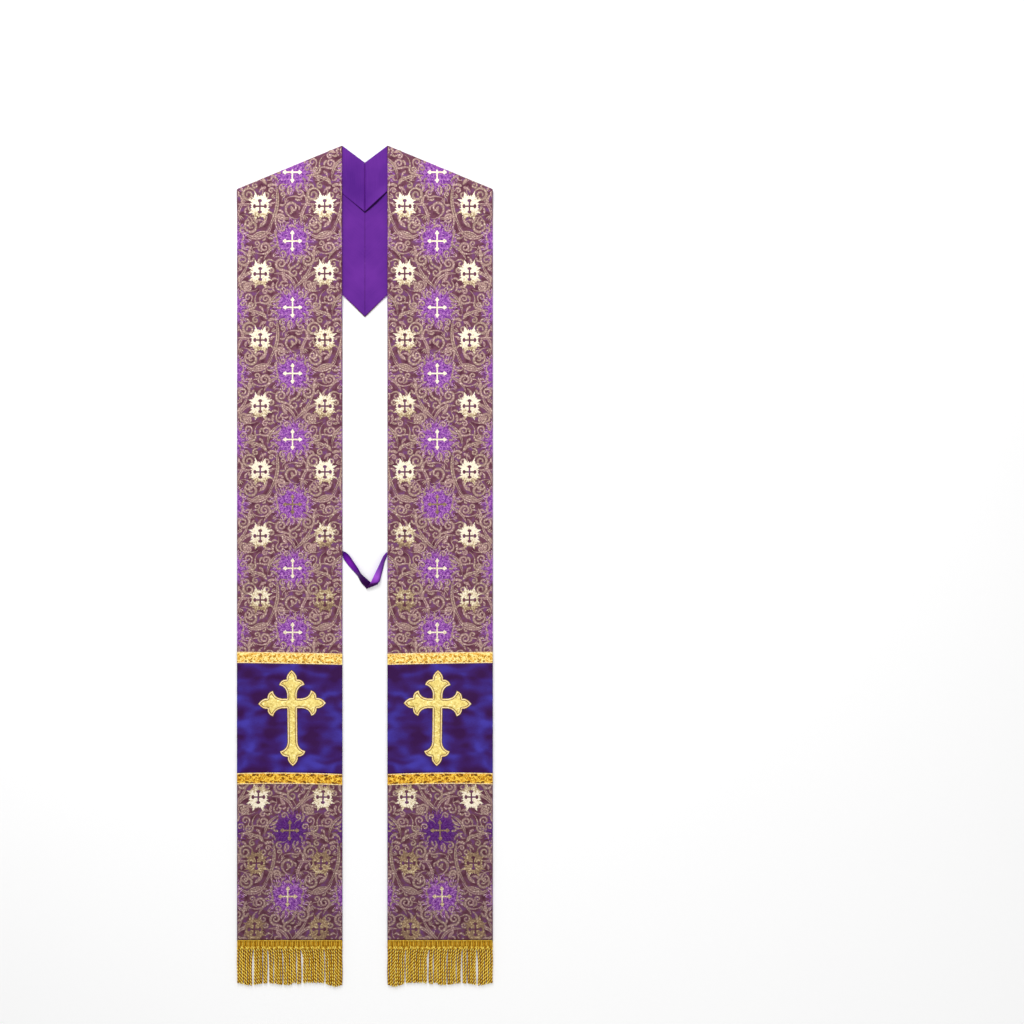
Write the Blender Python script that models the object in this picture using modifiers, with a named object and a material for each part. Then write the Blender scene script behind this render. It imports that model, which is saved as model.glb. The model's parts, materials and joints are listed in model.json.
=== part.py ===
"""A clerical stole laid flat on its back, front side up.

Metres, +Z up. The stole lies on the plane z = 0 with its neck towards +Y, and the origin is the middle of the
rectangle that it covers. Each half is one long strip of brocade, backed by a strip of lining. The strip runs
from the hem up the front panel, turns over at the sloping shoulder fold, and ends under the panels at the
centre back, where the two halves meet in a mitred seam and make a V shaped yoke.
"""

import math

import bmesh
import bpy

# Driving dimensions of the cut
PANEL_WIDTH = 0.1685
NECK_GAP = 0.072
FRONT_LENGTH = 1.270
SHOULDER_SLOPE = math.radians(22.5)
NECK_NOTCH_DEPTH = 0.027
SEAM_GAP = 0.0003
LINING_INSET = 0.001

# Thickness of each cloth
WALL = 0.001
BRAID_THICKNESS = 0.0014
CROSS_THICKNESS = 0.0015

# The fringe below each hem
FRINGE_LONGEST = 0.077
FRINGE_USUAL = 0.070
HEADING_HEIGHT = 0.012
HEADING_THICKNESS = 0.0024
HEADING_BASE = 0.0004
CORDS_PER_FRINGE = 45
CORD_INSET = 0.0007
CORD_STEPS = 4
CORD_SWELL = 1.06
CORD_TIP = 0.55

# Places on the front panel, measured up from the hem
CROSS_CENTRE = 0.378
CROSS_SHIFT = 0.004
CROSS_TILT = math.radians(0.75)

# Levels of the cloths above the floor, where the front panel lies on the yoke and facing
STEP = WALL + SEAM_GAP
YOKE_STACK = 3 * STEP
LIFT_RUN = 0.035

# Worked out from the driving dimensions
NECK_X = NECK_GAP / 2
OUTER_X = NECK_X + PANEL_WIDTH
SHOULDER_DROP = PANEL_WIDTH * math.tan(SHOULDER_SLOPE)
TOP_Y = (FRONT_LENGTH + FRINGE_LONGEST) / 2
HEM_Y = TOP_Y - FRONT_LENGTH
SHOULDER_Y = TOP_Y - SHOULDER_DROP
NOTCH_Y = TOP_Y - NECK_NOTCH_DEPTH
YOKE_POINT_Y = SHOULDER_Y - OUTER_X
FOLD_CENTRE_Z = (YOKE_STACK + 2 * STEP - SEAM_GAP) / 2
FOLD_SETBACK = FOLD_CENTRE_Z / math.cos(SHOULDER_SLOPE)

# How finely the cloth is divided
COLUMNS = 8
PLAIN_ROWS = 3
FAN_ROWS = 12
FOLD_STEPS = 6
YOKE_ROWS = 6

# Each braid's lower edge above the hem, and how far its middle and its inner end stray from level
BRAID_HEIGHT = 0.018
BRAIDS = {
    "lower": {"above_hem": 0.2485, "middle": 0.0012, "inner": -0.0015},
    "upper": {"above_hem": 0.4425, "middle": -0.0004, "inner": -0.0030},
}

# One end of a cross arm: along is measured back from the tip, out from the arm's middle line
CROSS_ARM_HALF = 0.0071
CROSS_END = {
    "tip": {"along": 0.0, "out": 0.0},
    "tip_bulge": {"along": 0.0080, "out": 0.0068},
    "notch": {"along": 0.0145, "out": 0.0086},
    "lobe_bulge": {"along": 0.0165, "out": 0.0165},
    "lobe_point": {"along": 0.0240, "out": 0.0197},
    "hollow": {"along": 0.0262, "out": 0.0094},
    "arm": {"along": 0.0380, "out": CROSS_ARM_HALF},
}
CROSS_ARMS = {"right": 0.054, "top": 0.053, "left": 0.054, "bottom": 0.100}
CURVE_STEPS = 4

# The facing inside the neck: its free edge at the centre back and under the front panel
FACING_CENTRE_DEPTH = 0.081
FACING_SIDE_DEPTH = 0.072
FACING_HIDDEN = 0.025
FACING_FOLD_CLEARANCE = 0.006

# How far a fringe cord's end hangs past the usual length, at places across the fringe from its outer edge
FRINGE_ENDS = [
    {"across": 0.00, "extra": 0.0000},
    {"across": 0.14, "extra": 0.0045},
    {"across": 0.20, "extra": 0.0020},
    {"across": 0.29, "extra": 0.0005},
    {"across": 0.41, "extra": 0.0030},
    {"across": 0.49, "extra": 0.0040},
    {"across": 0.53, "extra": -0.0010},
    {"across": 0.57, "extra": 0.0025},
    {"across": 0.63, "extra": 0.0000},
    {"across": 0.80, "extra": 0.0000},
    {"across": 0.85, "extra": 0.0030},
    {"across": 0.93, "extra": FRINGE_LONGEST - FRINGE_USUAL},
    {"across": 1.00, "extra": 0.0030},
]

# Where neighbouring cords part, as shares of the fringe's width from its outer edge
FRINGE_PARTINGS = [0.17, 0.25, 0.30, 0.415, 0.46, 0.55, 0.59, 0.82]
PARTING = 0.0016

# The ribbon between the panels. above_hem, x and z place its middle, heading and tilt turn its width, and it
# is pinched where it is sewn into the two seams. It folds over itself at its lowest point.
RIBBON_WIDTH = 0.013
RIBBON_SECTIONS = [
    {"x": -0.0357, "above_hem": 0.6180, "z": 0.0012, "heading": 90, "tilt": 0, "width": 0.0070},
    {"x": -0.0322, "above_hem": 0.6146, "z": 0.0029, "heading": 62, "tilt": 16, "width": 0.0105},
    {"x": -0.0282, "above_hem": 0.6101, "z": 0.0040, "heading": 46, "tilt": 28, "width": RIBBON_WIDTH},
    {"x": -0.0218, "above_hem": 0.6012, "z": 0.0046, "heading": 42, "tilt": 34, "width": RIBBON_WIDTH},
    {"x": -0.0142, "above_hem": 0.5915, "z": 0.0054, "heading": 40, "tilt": 44, "width": RIBBON_WIDTH},
    {"x": -0.0085, "above_hem": 0.5833, "z": 0.0060, "heading": 38, "tilt": 54, "width": RIBBON_WIDTH},
    {"x": -0.0008, "above_hem": 0.5735, "z": 0.0042, "heading": 31, "tilt": 28, "width": RIBBON_WIDTH},
    {"x": 0.0055, "above_hem": 0.5672, "z": 0.0016, "heading": 24, "tilt": 6, "width": RIBBON_WIDTH},
    {"x": 0.0080, "above_hem": 0.5640, "z": 0.0017, "heading": 20, "tilt": 3, "width": RIBBON_WIDTH},
    {"x": 0.0092, "above_hem": 0.5622, "z": 0.0034, "heading": 17, "tilt": 1, "width": RIBBON_WIDTH},
    {"x": 0.0100, "above_hem": 0.5640, "z": 0.0053, "heading": 12, "tilt": 0, "width": RIBBON_WIDTH},
    {"x": 0.0126, "above_hem": 0.5690, "z": 0.0060, "heading": 2, "tilt": -4, "width": RIBBON_WIDTH},
    {"x": 0.0168, "above_hem": 0.5745, "z": 0.0064, "heading": -12, "tilt": -16, "width": RIBBON_WIDTH},
    {"x": 0.0211, "above_hem": 0.5830, "z": 0.0062, "heading": -20, "tilt": -36, "width": RIBBON_WIDTH},
    {"x": 0.0254, "above_hem": 0.5944, "z": 0.0062, "heading": -22, "tilt": -52, "width": RIBBON_WIDTH},
    {"x": 0.0302, "above_hem": 0.6080, "z": 0.0054, "heading": -32, "tilt": -58, "width": 0.0105},
    {"x": 0.0335, "above_hem": 0.6145, "z": 0.0027, "heading": -62, "tilt": -34, "width": 0.0065},
    {"x": 0.0357, "above_hem": 0.6180, "z": 0.0012, "heading": -90, "tilt": 0, "width": 0.0040},
]

SIDES = {"left": -1, "right": 1}


def linear(channel):
    """One sRGB channel, 0 to 255, as Blender's linear value."""
    value = channel / 255
    if value <= 0.04045:
        return value / 12.92
    return ((value + 0.055) / 1.055) ** 2.4


def material(name, rgb, roughness, metallic):
    """A Principled BSDF from the photograph's colour."""
    made = bpy.data.materials.new(name)
    made.use_nodes = True
    shader = made.node_tree.nodes["Principled BSDF"]
    shader.inputs["Base Color"].default_value = (*[linear(c) for c in rgb], 1)
    shader.inputs["Roughness"].default_value = roughness
    shader.inputs["Metallic"].default_value = metallic
    return made


def materials():
    """The cloths and trims of the stole."""
    return {
        "brocade": material("brocade", (116, 84, 100), 0.60, 0.1),
        "lining": material("lining_satin", (108, 46, 152), 0.45, 0.0),
        "orphrey": material("orphrey_satin", (58, 36, 130), 0.38, 0.0),
        "braid": material("gold_braid", (214, 160, 48), 0.40, 0.6),
        "cross": material("gold_cloth", (226, 192, 104), 0.42, 0.5),
        "fringe": material("fringe_rayon", (190, 140, 24), 0.55, 0.1),
        "ribbon": material("ribbon_satin", (104, 26, 152), 0.35, 0.0),
    }


def smooth(share):
    """0 to 1 with level ends."""
    held = min(1.0, max(0.0, share))
    return held * held * (3 - 2 * held)


def between(a, b, share):
    return a + (b - a) * share


def table_value(table, key, value, at):
    """Reads a table of rows at a place between two of them."""
    for low, high in zip(table, table[1:]):
        if at <= high[key]:
            share = (at - low[key]) / (high[key] - low[key])
            return between(low[value], high[value], share)
    return table[-1][value]


def panel_lift(x, y):
    """How far the front panel's underside is off the floor: it rises to lie over the yoke beneath."""
    yoke_edge = YOKE_POINT_Y + abs(x)
    beyond = (yoke_edge - y) / math.sqrt(2)
    return YOKE_STACK * (1 - smooth(beyond / LIFT_RUN))


def fold_line_y(x):
    """The middle line of the shoulder fold's bend, in plan."""
    return TOP_Y - (abs(x) - NECK_X) * math.tan(SHOULDER_SLOPE) - FOLD_SETBACK


def across(outer, inner, columns=COLUMNS):
    """Points in plan from the outer to the inner edge of the strip, as (x, y)."""
    shares = [i / columns for i in range(columns + 1)]
    return [(between(outer[0], inner[0], s), between(outer[1], inner[1], s)) for s in shares]


def front_rows(side, level, inset):
    """Rows of the front panel from the hem to the shoulder fold. level is the middle of the cloth above the panel's underside."""
    outer_x = side * (OUTER_X - inset)
    inner_x = side * (NECK_X + inset)
    hem = HEM_Y + inset
    fan_start = YOKE_POINT_Y + NECK_X - 2 * LIFT_RUN
    outer_end = fold_line_y(outer_x)
    inner_end = fold_line_y(inner_x)
    rows = []
    for i in range(PLAIN_ROWS):
        y = between(hem, fan_start, i / PLAIN_ROWS)
        rows.append(across((outer_x, y), (inner_x, y)))
    for i in range(FAN_ROWS + 1):
        share = i / FAN_ROWS
        outer = (outer_x, between(fan_start, outer_end, share))
        inner = (inner_x, between(fan_start, inner_end, share))
        rows.append(across(outer, inner))
    return [[(x, y, panel_lift(x, y) + level) for x, y in row] for row in rows]


def fold_rows(side, radius, inset):
    """Rows round the shoulder fold, between the top of the front and the yoke."""
    outer_x = side * (OUTER_X - inset)
    inner_x = side * (NECK_X + inset)
    rows = []
    for i in range(1, FOLD_STEPS):
        turn = math.pi / 2 - math.pi * i / FOLD_STEPS
        reach = radius * math.cos(turn) / math.cos(SHOULDER_SLOPE)
        z = FOLD_CENTRE_Z + radius * math.sin(turn)
        line = across((outer_x, fold_line_y(outer_x)), (inner_x, fold_line_y(inner_x)))
        rows.append([(x, y + reach, z) for x, y in line])
    return rows


def yoke_rows(side, z, inset):
    """Rows of the back yoke, from the fold to the mitred seam at the centre back."""
    outer_x = side * (OUTER_X - inset)
    inner_x = side * (NECK_X + inset)
    seam_x = side * SEAM_GAP / 2
    diagonal_inset = inset * math.sqrt(2)
    outer_start = (outer_x, fold_line_y(outer_x))
    inner_start = (inner_x, fold_line_y(inner_x))
    outer_end = (seam_x, YOKE_POINT_Y + diagonal_inset)
    inner_end = (seam_x, NOTCH_Y - diagonal_inset)
    rows = []
    for i in range(YOKE_ROWS + 1):
        share = i / YOKE_ROWS
        outer = [between(a, b, share) for a, b in zip(outer_start, outer_end)]
        inner = [between(a, b, share) for a, b in zip(inner_start, inner_end)]
        rows.append([(x, y, z) for x, y in across(outer, inner)])
    return rows


def add_object(name, mesh, finish, home):
    mesh.materials.append(finish)
    made = bpy.data.objects.new(name, mesh)
    home.objects.link(made)
    return made


def cloth(name, rows, thickness, finish, home):
    """A wall of cloth: a grid of faces through the rows, thickened evenly about its middle."""
    grid = bmesh.new()
    points = [[grid.verts.new(p) for p in row] for row in rows]
    for low, high in zip(points, points[1:]):
        for i in range(len(low) - 1):
            grid.faces.new((low[i], low[i + 1], high[i + 1], high[i]))
    mesh = bpy.data.meshes.new(name)
    grid.to_mesh(mesh)
    grid.free()
    made = add_object(name, mesh, finish, home)
    wall = made.modifiers.new("wall", "SOLIDIFY")
    wall.thickness = thickness
    wall.offset = 0
    wall.use_even_offset = True
    return made


def strip(name, side, position, inset, finish, home):
    """One strip of the stole. position counts the cloths from the floor: 0 is the lining of the front panel, 1 its brocade."""
    level = position * STEP + WALL / 2
    radius = YOKE_STACK + level - FOLD_CENTRE_Z
    yoke_z = FOLD_CENTRE_Z - radius
    rows = front_rows(side, level, inset) + fold_rows(side, radius, inset) + yoke_rows(side, yoke_z, inset)
    return cloth(name, rows, WALL, finish, home)


def neck_facing(name, side, finish, home):
    """Half of the V facing over the yoke's lining, from the neck edge to its free lower edge."""
    seam_x = side * SEAM_GAP / 2
    neck_x = side * (NECK_X + LINING_INSET)
    hidden_x = side * (NECK_X + FACING_HIDDEN)
    z = 2 * STEP + WALL / 2
    upper = [
        (seam_x, NOTCH_Y - LINING_INSET * math.sqrt(2)),
        (neck_x, fold_line_y(neck_x) - FACING_FOLD_CLEARANCE),
        (hidden_x, fold_line_y(hidden_x) - FACING_FOLD_CLEARANCE),
    ]
    side_edge = TOP_Y - FACING_SIDE_DEPTH
    centre_edge = NOTCH_Y - FACING_CENTRE_DEPTH
    rise = (side_edge - centre_edge) / NECK_X
    lower = [(x, centre_edge + rise * abs(x)) for x, _ in upper]
    rows = [[(x, y, z) for x, y in upper], [(x, y, z) for x, y in lower]]
    return cloth(name, rows, WALL, finish, home)


def braid_edge(which, share, rise):
    """The y of a braid's edge at a share of the panel's width from its outer edge."""
    row = BRAIDS[which]
    arch = row["middle"] * 4 * share * (1 - share)
    return HEM_Y + row["above_hem"] + rise + arch + row["inner"] * share * share


def band(name, side, edges, thickness, finish, home):
    """A band on the front panel, raised from the panel's own points. edges gives its lower and upper y at a share of the width."""
    level = 2 * STEP + thickness / 2
    rows = []
    for edge in edges:
        shares = [i / COLUMNS for i in range(COLUMNS + 1)]
        plan = [(side * between(OUTER_X, NECK_X, s), edge(s)) for s in shares]
        rows.append([(x, y, panel_lift(x, y) + level) for x, y in plan])
    return cloth(name, rows, thickness, finish, home)


def trims(side_name, side, finishes, home):
    """The orphrey band with a braid above and below it, all lying on the brocade."""
    for which in BRAIDS:
        edges = [
            lambda s, w=which: braid_edge(w, s, 0),
            lambda s, w=which: braid_edge(w, s, BRAID_HEIGHT),
        ]
        band(f"braid_{which}_{side_name}", side, edges, BRAID_THICKNESS, finishes["braid"], home)
    edges = [
        lambda s: braid_edge("lower", s, BRAID_HEIGHT + SEAM_GAP),
        lambda s: braid_edge("upper", s, -SEAM_GAP),
    ]
    band(f"orphrey_{side_name}", side, edges, WALL, finishes["orphrey"], home)


def bow(start, control, end, steps=CURVE_STEPS):
    """Points along a curve that leaves start and reaches end, pulled towards control, without its first point."""
    points = []
    for i in range(1, steps + 1):
        t = i / steps
        weights = ((1 - t) ** 2, 2 * t * (1 - t), t * t)
        points.append(tuple(sum(w * p[k] for w, p in zip(weights, (start, control, end))) for k in (0, 1)))
    return points


def cross_arm(length):
    """Half of one arm of the cross, from the inner corner to the tip, as (along the arm, out from its middle)."""
    end = {name: (length - row["along"], row["out"]) for name, row in CROSS_END.items()}
    points = [end["arm"]]
    points += bow(end["arm"], end["hollow"], end["lobe_point"])
    points += bow(end["lobe_point"], end["lobe_bulge"], end["notch"])
    points += bow(end["notch"], end["tip_bulge"], end["tip"])
    return points


def cross_outline():
    """The whole outline, anticlockwise from the inner corner between the bottom and the right arm."""
    outline = []
    for i, length in enumerate(CROSS_ARMS.values()):
        half = cross_arm(length)
        arm = [(along, -out) for along, out in half] + half[-2::-1]
        arm = [(CROSS_ARM_HALF, -CROSS_ARM_HALF)] + arm
        turn = math.pi / 2 * i
        cos, sin = math.cos(turn), math.sin(turn)
        outline += [(x * cos - y * sin, x * sin + y * cos) for x, y in arm]
    return outline


def cross(name, side, finish, home):
    """The applied cross on the orphrey band: a flat outline with its faces filled."""
    curve = bpy.data.curves.new(name, "CURVE")
    curve.dimensions = "2D"
    curve.fill_mode = "BOTH"
    curve.extrude = CROSS_THICKNESS / 2
    outline = cross_outline()
    spline = curve.splines.new("POLY")
    spline.points.add(len(outline) - 1)
    spline.use_cyclic_u = True
    for point, (x, y) in zip(spline.points, outline):
        point.co = (x, y, 0, 1)
    made = add_object(name, curve, finish, home)
    middle = side * ((NECK_X + OUTER_X) / 2 - CROSS_SHIFT)
    base = 3 * STEP
    made.location = (middle, HEM_Y + CROSS_CENTRE, base + CROSS_THICKNESS / 2)
    made.rotation_euler = (0, 0, -side * CROSS_TILT)
    return made


def parted(share):
    """How far a cord's end strays sideways, so that the fringe parts where the photograph shows it."""
    passed = sum(1 for place in FRINGE_PARTINGS if place < share)
    return PARTING * (passed - len(FRINGE_PARTINGS) * share)


def fringe(name, side, finish, home):
    """The heading below the hem, with each cord drawn out of its lower edge."""
    pitch = PANEL_WIDTH / CORDS_PER_FRINGE
    top = HEM_Y - SEAM_GAP
    shape = bmesh.new()
    bmesh.ops.create_cube(shape, size=1)
    bmesh.ops.scale(shape, vec=(PANEL_WIDTH, HEADING_HEIGHT, HEADING_THICKNESS), verts=shape.verts)
    middle = ((NECK_X + OUTER_X) / 2, top - HEADING_HEIGHT / 2, HEADING_BASE + HEADING_THICKNESS / 2)
    bmesh.ops.translate(shape, vec=middle, verts=shape.verts)
    for i in range(1, CORDS_PER_FRINGE):
        everything = shape.verts[:] + shape.edges[:] + shape.faces[:]
        cut = (NECK_X + i * pitch, 0, 0)
        bmesh.ops.bisect_plane(shape, geom=everything, plane_co=cut, plane_no=(1, 0, 0))
    shape.normal_update()
    roots = [face for face in shape.faces if face.normal.y < -0.5]
    bmesh.ops.inset_individual(shape, faces=roots, thickness=CORD_INSET)
    for root in roots:
        draw_cord(shape, root)
    if side < 0:
        bmesh.ops.scale(shape, vec=(-1, 1, 1), verts=shape.verts)
    bmesh.ops.recalc_face_normals(shape, faces=shape.faces)
    mesh = bpy.data.meshes.new(name)
    shape.to_mesh(mesh)
    shape.free()
    return add_object(name, mesh, finish, home)


def draw_cord(shape, root):
    """Draws one cord out of its root face, a step at a time."""
    share = (OUTER_X - root.calc_center_median().x) / PANEL_WIDTH
    length = FRINGE_USUAL + table_value(FRINGE_ENDS, "across", "extra", share) - HEADING_HEIGHT - SEAM_GAP
    stray = -parted(share)
    face = root
    for i in range(1, CORD_STEPS + 1):
        made = bmesh.ops.extrude_discrete_faces(shape, faces=[face])
        face = made["faces"][0]
        sway = stray * (smooth(i / CORD_STEPS) - smooth((i - 1) / CORD_STEPS))
        bmesh.ops.translate(shape, vec=(sway, -length / CORD_STEPS, 0), verts=face.verts)
        middle = face.calc_center_median()
        size = CORD_TIP if i == CORD_STEPS else CORD_SWELL
        for corner in face.verts:
            corner.co.x = middle.x + (corner.co.x - middle.x) * size
            corner.co.z = middle.z + (corner.co.z - middle.z) * size


def ribbon(name, finish, home):
    """The ribbon that joins the panels, through its sections."""
    rows = []
    for row in RIBBON_SECTIONS:
        heading, tilt = math.radians(row["heading"]), math.radians(row["tilt"])
        width = (math.cos(heading) * math.cos(tilt), math.sin(heading) * math.cos(tilt), math.sin(tilt))
        middle = (row["x"], HEM_Y + row["above_hem"], row["z"])
        halves = (-row["width"] / 2, 0, row["width"] / 2)
        rows.append([tuple(m + w * h for m, w in zip(middle, width)) for h in halves])
    return cloth(name, rows, WALL, finish, home)


def build():
    """Clears the scene and makes the stole."""
    for old in list(bpy.data.objects):
        bpy.data.objects.remove(old)
    home = bpy.data.collections.new("clerical_stole")
    bpy.context.scene.collection.children.link(home)
    finishes = materials()
    for side_name, side in SIDES.items():
        strip(f"lining_{side_name}", side, 0, LINING_INSET, finishes["lining"], home)
        strip(f"brocade_{side_name}", side, 1, 0, finishes["brocade"], home)
        neck_facing(f"neck_facing_{side_name}", side, finishes["lining"], home)
        trims(side_name, side, finishes, home)
        cross(f"cross_{side_name}", side, finishes["cross"], home)
        fringe(f"fringe_{side_name}", side, finishes["fringe"], home)
    ribbon("ribbon", finishes["ribbon"], home)


build()
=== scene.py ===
# %% [markdown]
# # A clerical stole, laid flat
#
# A stole is a long band of brocade that hangs from the neck to the knees. This one is lined with purple satin,
# crossed by two blue bands called orphreys, and ends in bullion fringe. The CAD solids give its true shape and
# size as plain walls. This scene dresses each of them as thin cloth in the same place, so that every measure
# here is read from those solids and nothing is fitted by eye.
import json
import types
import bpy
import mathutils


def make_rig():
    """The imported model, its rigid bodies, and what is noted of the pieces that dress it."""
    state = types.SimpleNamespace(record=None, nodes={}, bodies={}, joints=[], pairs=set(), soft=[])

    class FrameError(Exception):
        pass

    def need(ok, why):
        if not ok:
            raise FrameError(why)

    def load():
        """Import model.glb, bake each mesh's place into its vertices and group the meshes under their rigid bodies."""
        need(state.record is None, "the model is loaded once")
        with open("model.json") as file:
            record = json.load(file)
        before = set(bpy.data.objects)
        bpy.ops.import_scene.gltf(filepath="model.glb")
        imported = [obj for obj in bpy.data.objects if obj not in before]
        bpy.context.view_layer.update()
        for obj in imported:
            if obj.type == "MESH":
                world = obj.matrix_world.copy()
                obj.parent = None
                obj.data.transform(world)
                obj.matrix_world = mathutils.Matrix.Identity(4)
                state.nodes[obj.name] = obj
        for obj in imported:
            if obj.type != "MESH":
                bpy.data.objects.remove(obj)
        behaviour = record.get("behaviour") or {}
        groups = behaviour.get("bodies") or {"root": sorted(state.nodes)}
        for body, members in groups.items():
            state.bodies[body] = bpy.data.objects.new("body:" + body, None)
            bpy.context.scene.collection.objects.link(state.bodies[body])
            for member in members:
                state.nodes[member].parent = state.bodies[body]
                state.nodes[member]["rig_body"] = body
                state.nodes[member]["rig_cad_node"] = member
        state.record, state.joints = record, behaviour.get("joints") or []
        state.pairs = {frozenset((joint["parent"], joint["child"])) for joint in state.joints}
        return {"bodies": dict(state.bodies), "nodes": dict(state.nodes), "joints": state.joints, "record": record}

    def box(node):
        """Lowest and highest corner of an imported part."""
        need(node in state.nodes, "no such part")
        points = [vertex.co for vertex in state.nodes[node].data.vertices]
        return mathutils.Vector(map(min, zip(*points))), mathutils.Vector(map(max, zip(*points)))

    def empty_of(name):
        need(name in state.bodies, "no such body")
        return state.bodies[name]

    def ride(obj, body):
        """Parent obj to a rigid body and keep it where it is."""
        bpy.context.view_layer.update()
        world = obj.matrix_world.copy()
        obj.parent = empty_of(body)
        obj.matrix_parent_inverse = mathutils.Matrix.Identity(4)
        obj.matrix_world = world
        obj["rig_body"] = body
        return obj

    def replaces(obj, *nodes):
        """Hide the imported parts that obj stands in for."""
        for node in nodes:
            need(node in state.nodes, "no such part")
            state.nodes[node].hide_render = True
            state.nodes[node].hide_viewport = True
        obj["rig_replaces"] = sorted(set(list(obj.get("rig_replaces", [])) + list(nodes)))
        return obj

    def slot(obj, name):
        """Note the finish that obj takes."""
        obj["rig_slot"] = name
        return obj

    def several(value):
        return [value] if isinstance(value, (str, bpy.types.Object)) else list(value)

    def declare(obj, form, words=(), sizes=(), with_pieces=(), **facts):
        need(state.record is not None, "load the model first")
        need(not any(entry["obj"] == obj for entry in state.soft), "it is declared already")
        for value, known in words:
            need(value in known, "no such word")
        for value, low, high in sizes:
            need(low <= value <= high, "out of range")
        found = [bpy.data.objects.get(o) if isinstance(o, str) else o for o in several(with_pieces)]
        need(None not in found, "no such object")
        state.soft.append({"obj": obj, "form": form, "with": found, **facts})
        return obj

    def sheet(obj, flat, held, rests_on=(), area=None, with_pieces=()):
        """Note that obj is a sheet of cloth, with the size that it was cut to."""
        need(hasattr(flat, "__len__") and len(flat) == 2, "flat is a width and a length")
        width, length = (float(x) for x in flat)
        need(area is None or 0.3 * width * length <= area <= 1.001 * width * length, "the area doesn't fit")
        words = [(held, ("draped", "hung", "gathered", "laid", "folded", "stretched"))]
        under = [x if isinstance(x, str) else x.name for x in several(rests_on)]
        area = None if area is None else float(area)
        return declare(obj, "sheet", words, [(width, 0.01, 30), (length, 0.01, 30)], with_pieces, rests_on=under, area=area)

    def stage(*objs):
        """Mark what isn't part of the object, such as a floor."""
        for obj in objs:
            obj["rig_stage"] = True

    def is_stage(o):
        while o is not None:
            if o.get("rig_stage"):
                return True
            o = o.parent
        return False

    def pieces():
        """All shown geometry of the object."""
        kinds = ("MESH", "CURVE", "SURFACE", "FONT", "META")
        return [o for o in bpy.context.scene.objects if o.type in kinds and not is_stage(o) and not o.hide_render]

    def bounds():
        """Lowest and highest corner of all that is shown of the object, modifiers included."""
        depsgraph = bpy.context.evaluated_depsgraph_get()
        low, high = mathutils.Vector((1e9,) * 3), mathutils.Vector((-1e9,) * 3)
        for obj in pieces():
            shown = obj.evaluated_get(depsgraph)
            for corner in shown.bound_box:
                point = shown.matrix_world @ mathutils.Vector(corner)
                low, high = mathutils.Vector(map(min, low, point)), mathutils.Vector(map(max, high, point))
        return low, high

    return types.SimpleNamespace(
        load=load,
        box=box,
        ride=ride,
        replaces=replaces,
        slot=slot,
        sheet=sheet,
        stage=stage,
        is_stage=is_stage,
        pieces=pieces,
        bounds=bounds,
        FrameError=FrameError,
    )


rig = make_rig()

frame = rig.load()
CAD_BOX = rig.bounds()
print("the stole measures", [round((b - a) * 1000) for a, b in zip(*CAD_BOX)], "mm")

# %% Tools and sizes read from the frame
import json
import math

import bmesh
import bpy
import numpy as np
from mathutils import Matrix, Vector

MM = 0.001
OUTER_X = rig.box("orphrey_right")[1].x
NECK_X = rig.box("orphrey_right")[0].x
HEM_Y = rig.box("brocade_right")[0].y
PEAK_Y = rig.box("brocade_right")[1].y
WIDTH = OUTER_X - NECK_X
SIDES = {"left": -1, "right": 1}
print(f"each panel is {WIDTH * 1000:.1f} mm wide, and its hem lies at y = {HEM_Y:.4f}")

# %% [markdown]
# ## The cloth strip as a map
#
# Each half of the stole is one strip. It runs up from the hem, turns over at the sloping shoulder, and ends
# under the panels at the mitred seam of the centre back. A piece on the strip could be placed by hand on every
# stretch, but a map is simpler: it takes a place on the flat cloth, as the distance in from the outer edge and
# the distance up from the hem, with a depth below the brocade's face, and gives the place in space. Everything
# woven into the brocade, or sewn on it, goes through this one map, so it follows the cloth round the fold.

# %% The map from flat cloth to the folded strip
PANEL_STACK = 2.3 * MM
YOKE_STACK = 3.9 * MM
LIFT_RUN = 35 * MM
SEAM_HALF = 0.15 * MM
SLOPE = math.radians(22.5)
NOTCH_DEPTH = 27 * MM
FOLD_Z = (YOKE_STACK + PANEL_STACK) / 2
SHOULDER_Y = PEAK_Y - WIDTH * math.tan(SLOPE)
YOKE_POINT_Y = SHOULDER_Y - OUTER_X
NOTCH_Y = PEAK_Y - NOTCH_DEPTH
BEND_LENGTH = math.pi * FOLD_Z * 0.85


def ease(share):
    """0 to 1 with level ends."""
    held = np.clip(share, 0, 1)
    return held * held * (3 - 2 * held)


def fold_y(x):
    """The middle of the shoulder bend, in plan."""
    return PEAK_Y - (x - NECK_X) * math.tan(SLOPE) - FOLD_Z / math.cos(SLOPE)


def mitre_y(x):
    """Where the strip's line at x meets the centre back seam."""
    return YOKE_POINT_Y + (NOTCH_Y - YOKE_POINT_Y) * (OUTER_X - x) / WIDTH


def fold_place(inward):
    """The distance up from the hem at which the cloth reaches the shoulder bend."""
    return fold_y(OUTER_X - inward) - HEM_Y


def yoke_run(inward):
    """The length of the strip from the bend to the mitre."""
    x = OUTER_X - inward
    return np.hypot(x - SEAM_HALF, mitre_y(x) - fold_y(x))


def strip_end(inward):
    """The distance up from the hem at which the strip ends, at the mitre."""
    return fold_place(inward) + BEND_LENGTH + yoke_run(inward)


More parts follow.
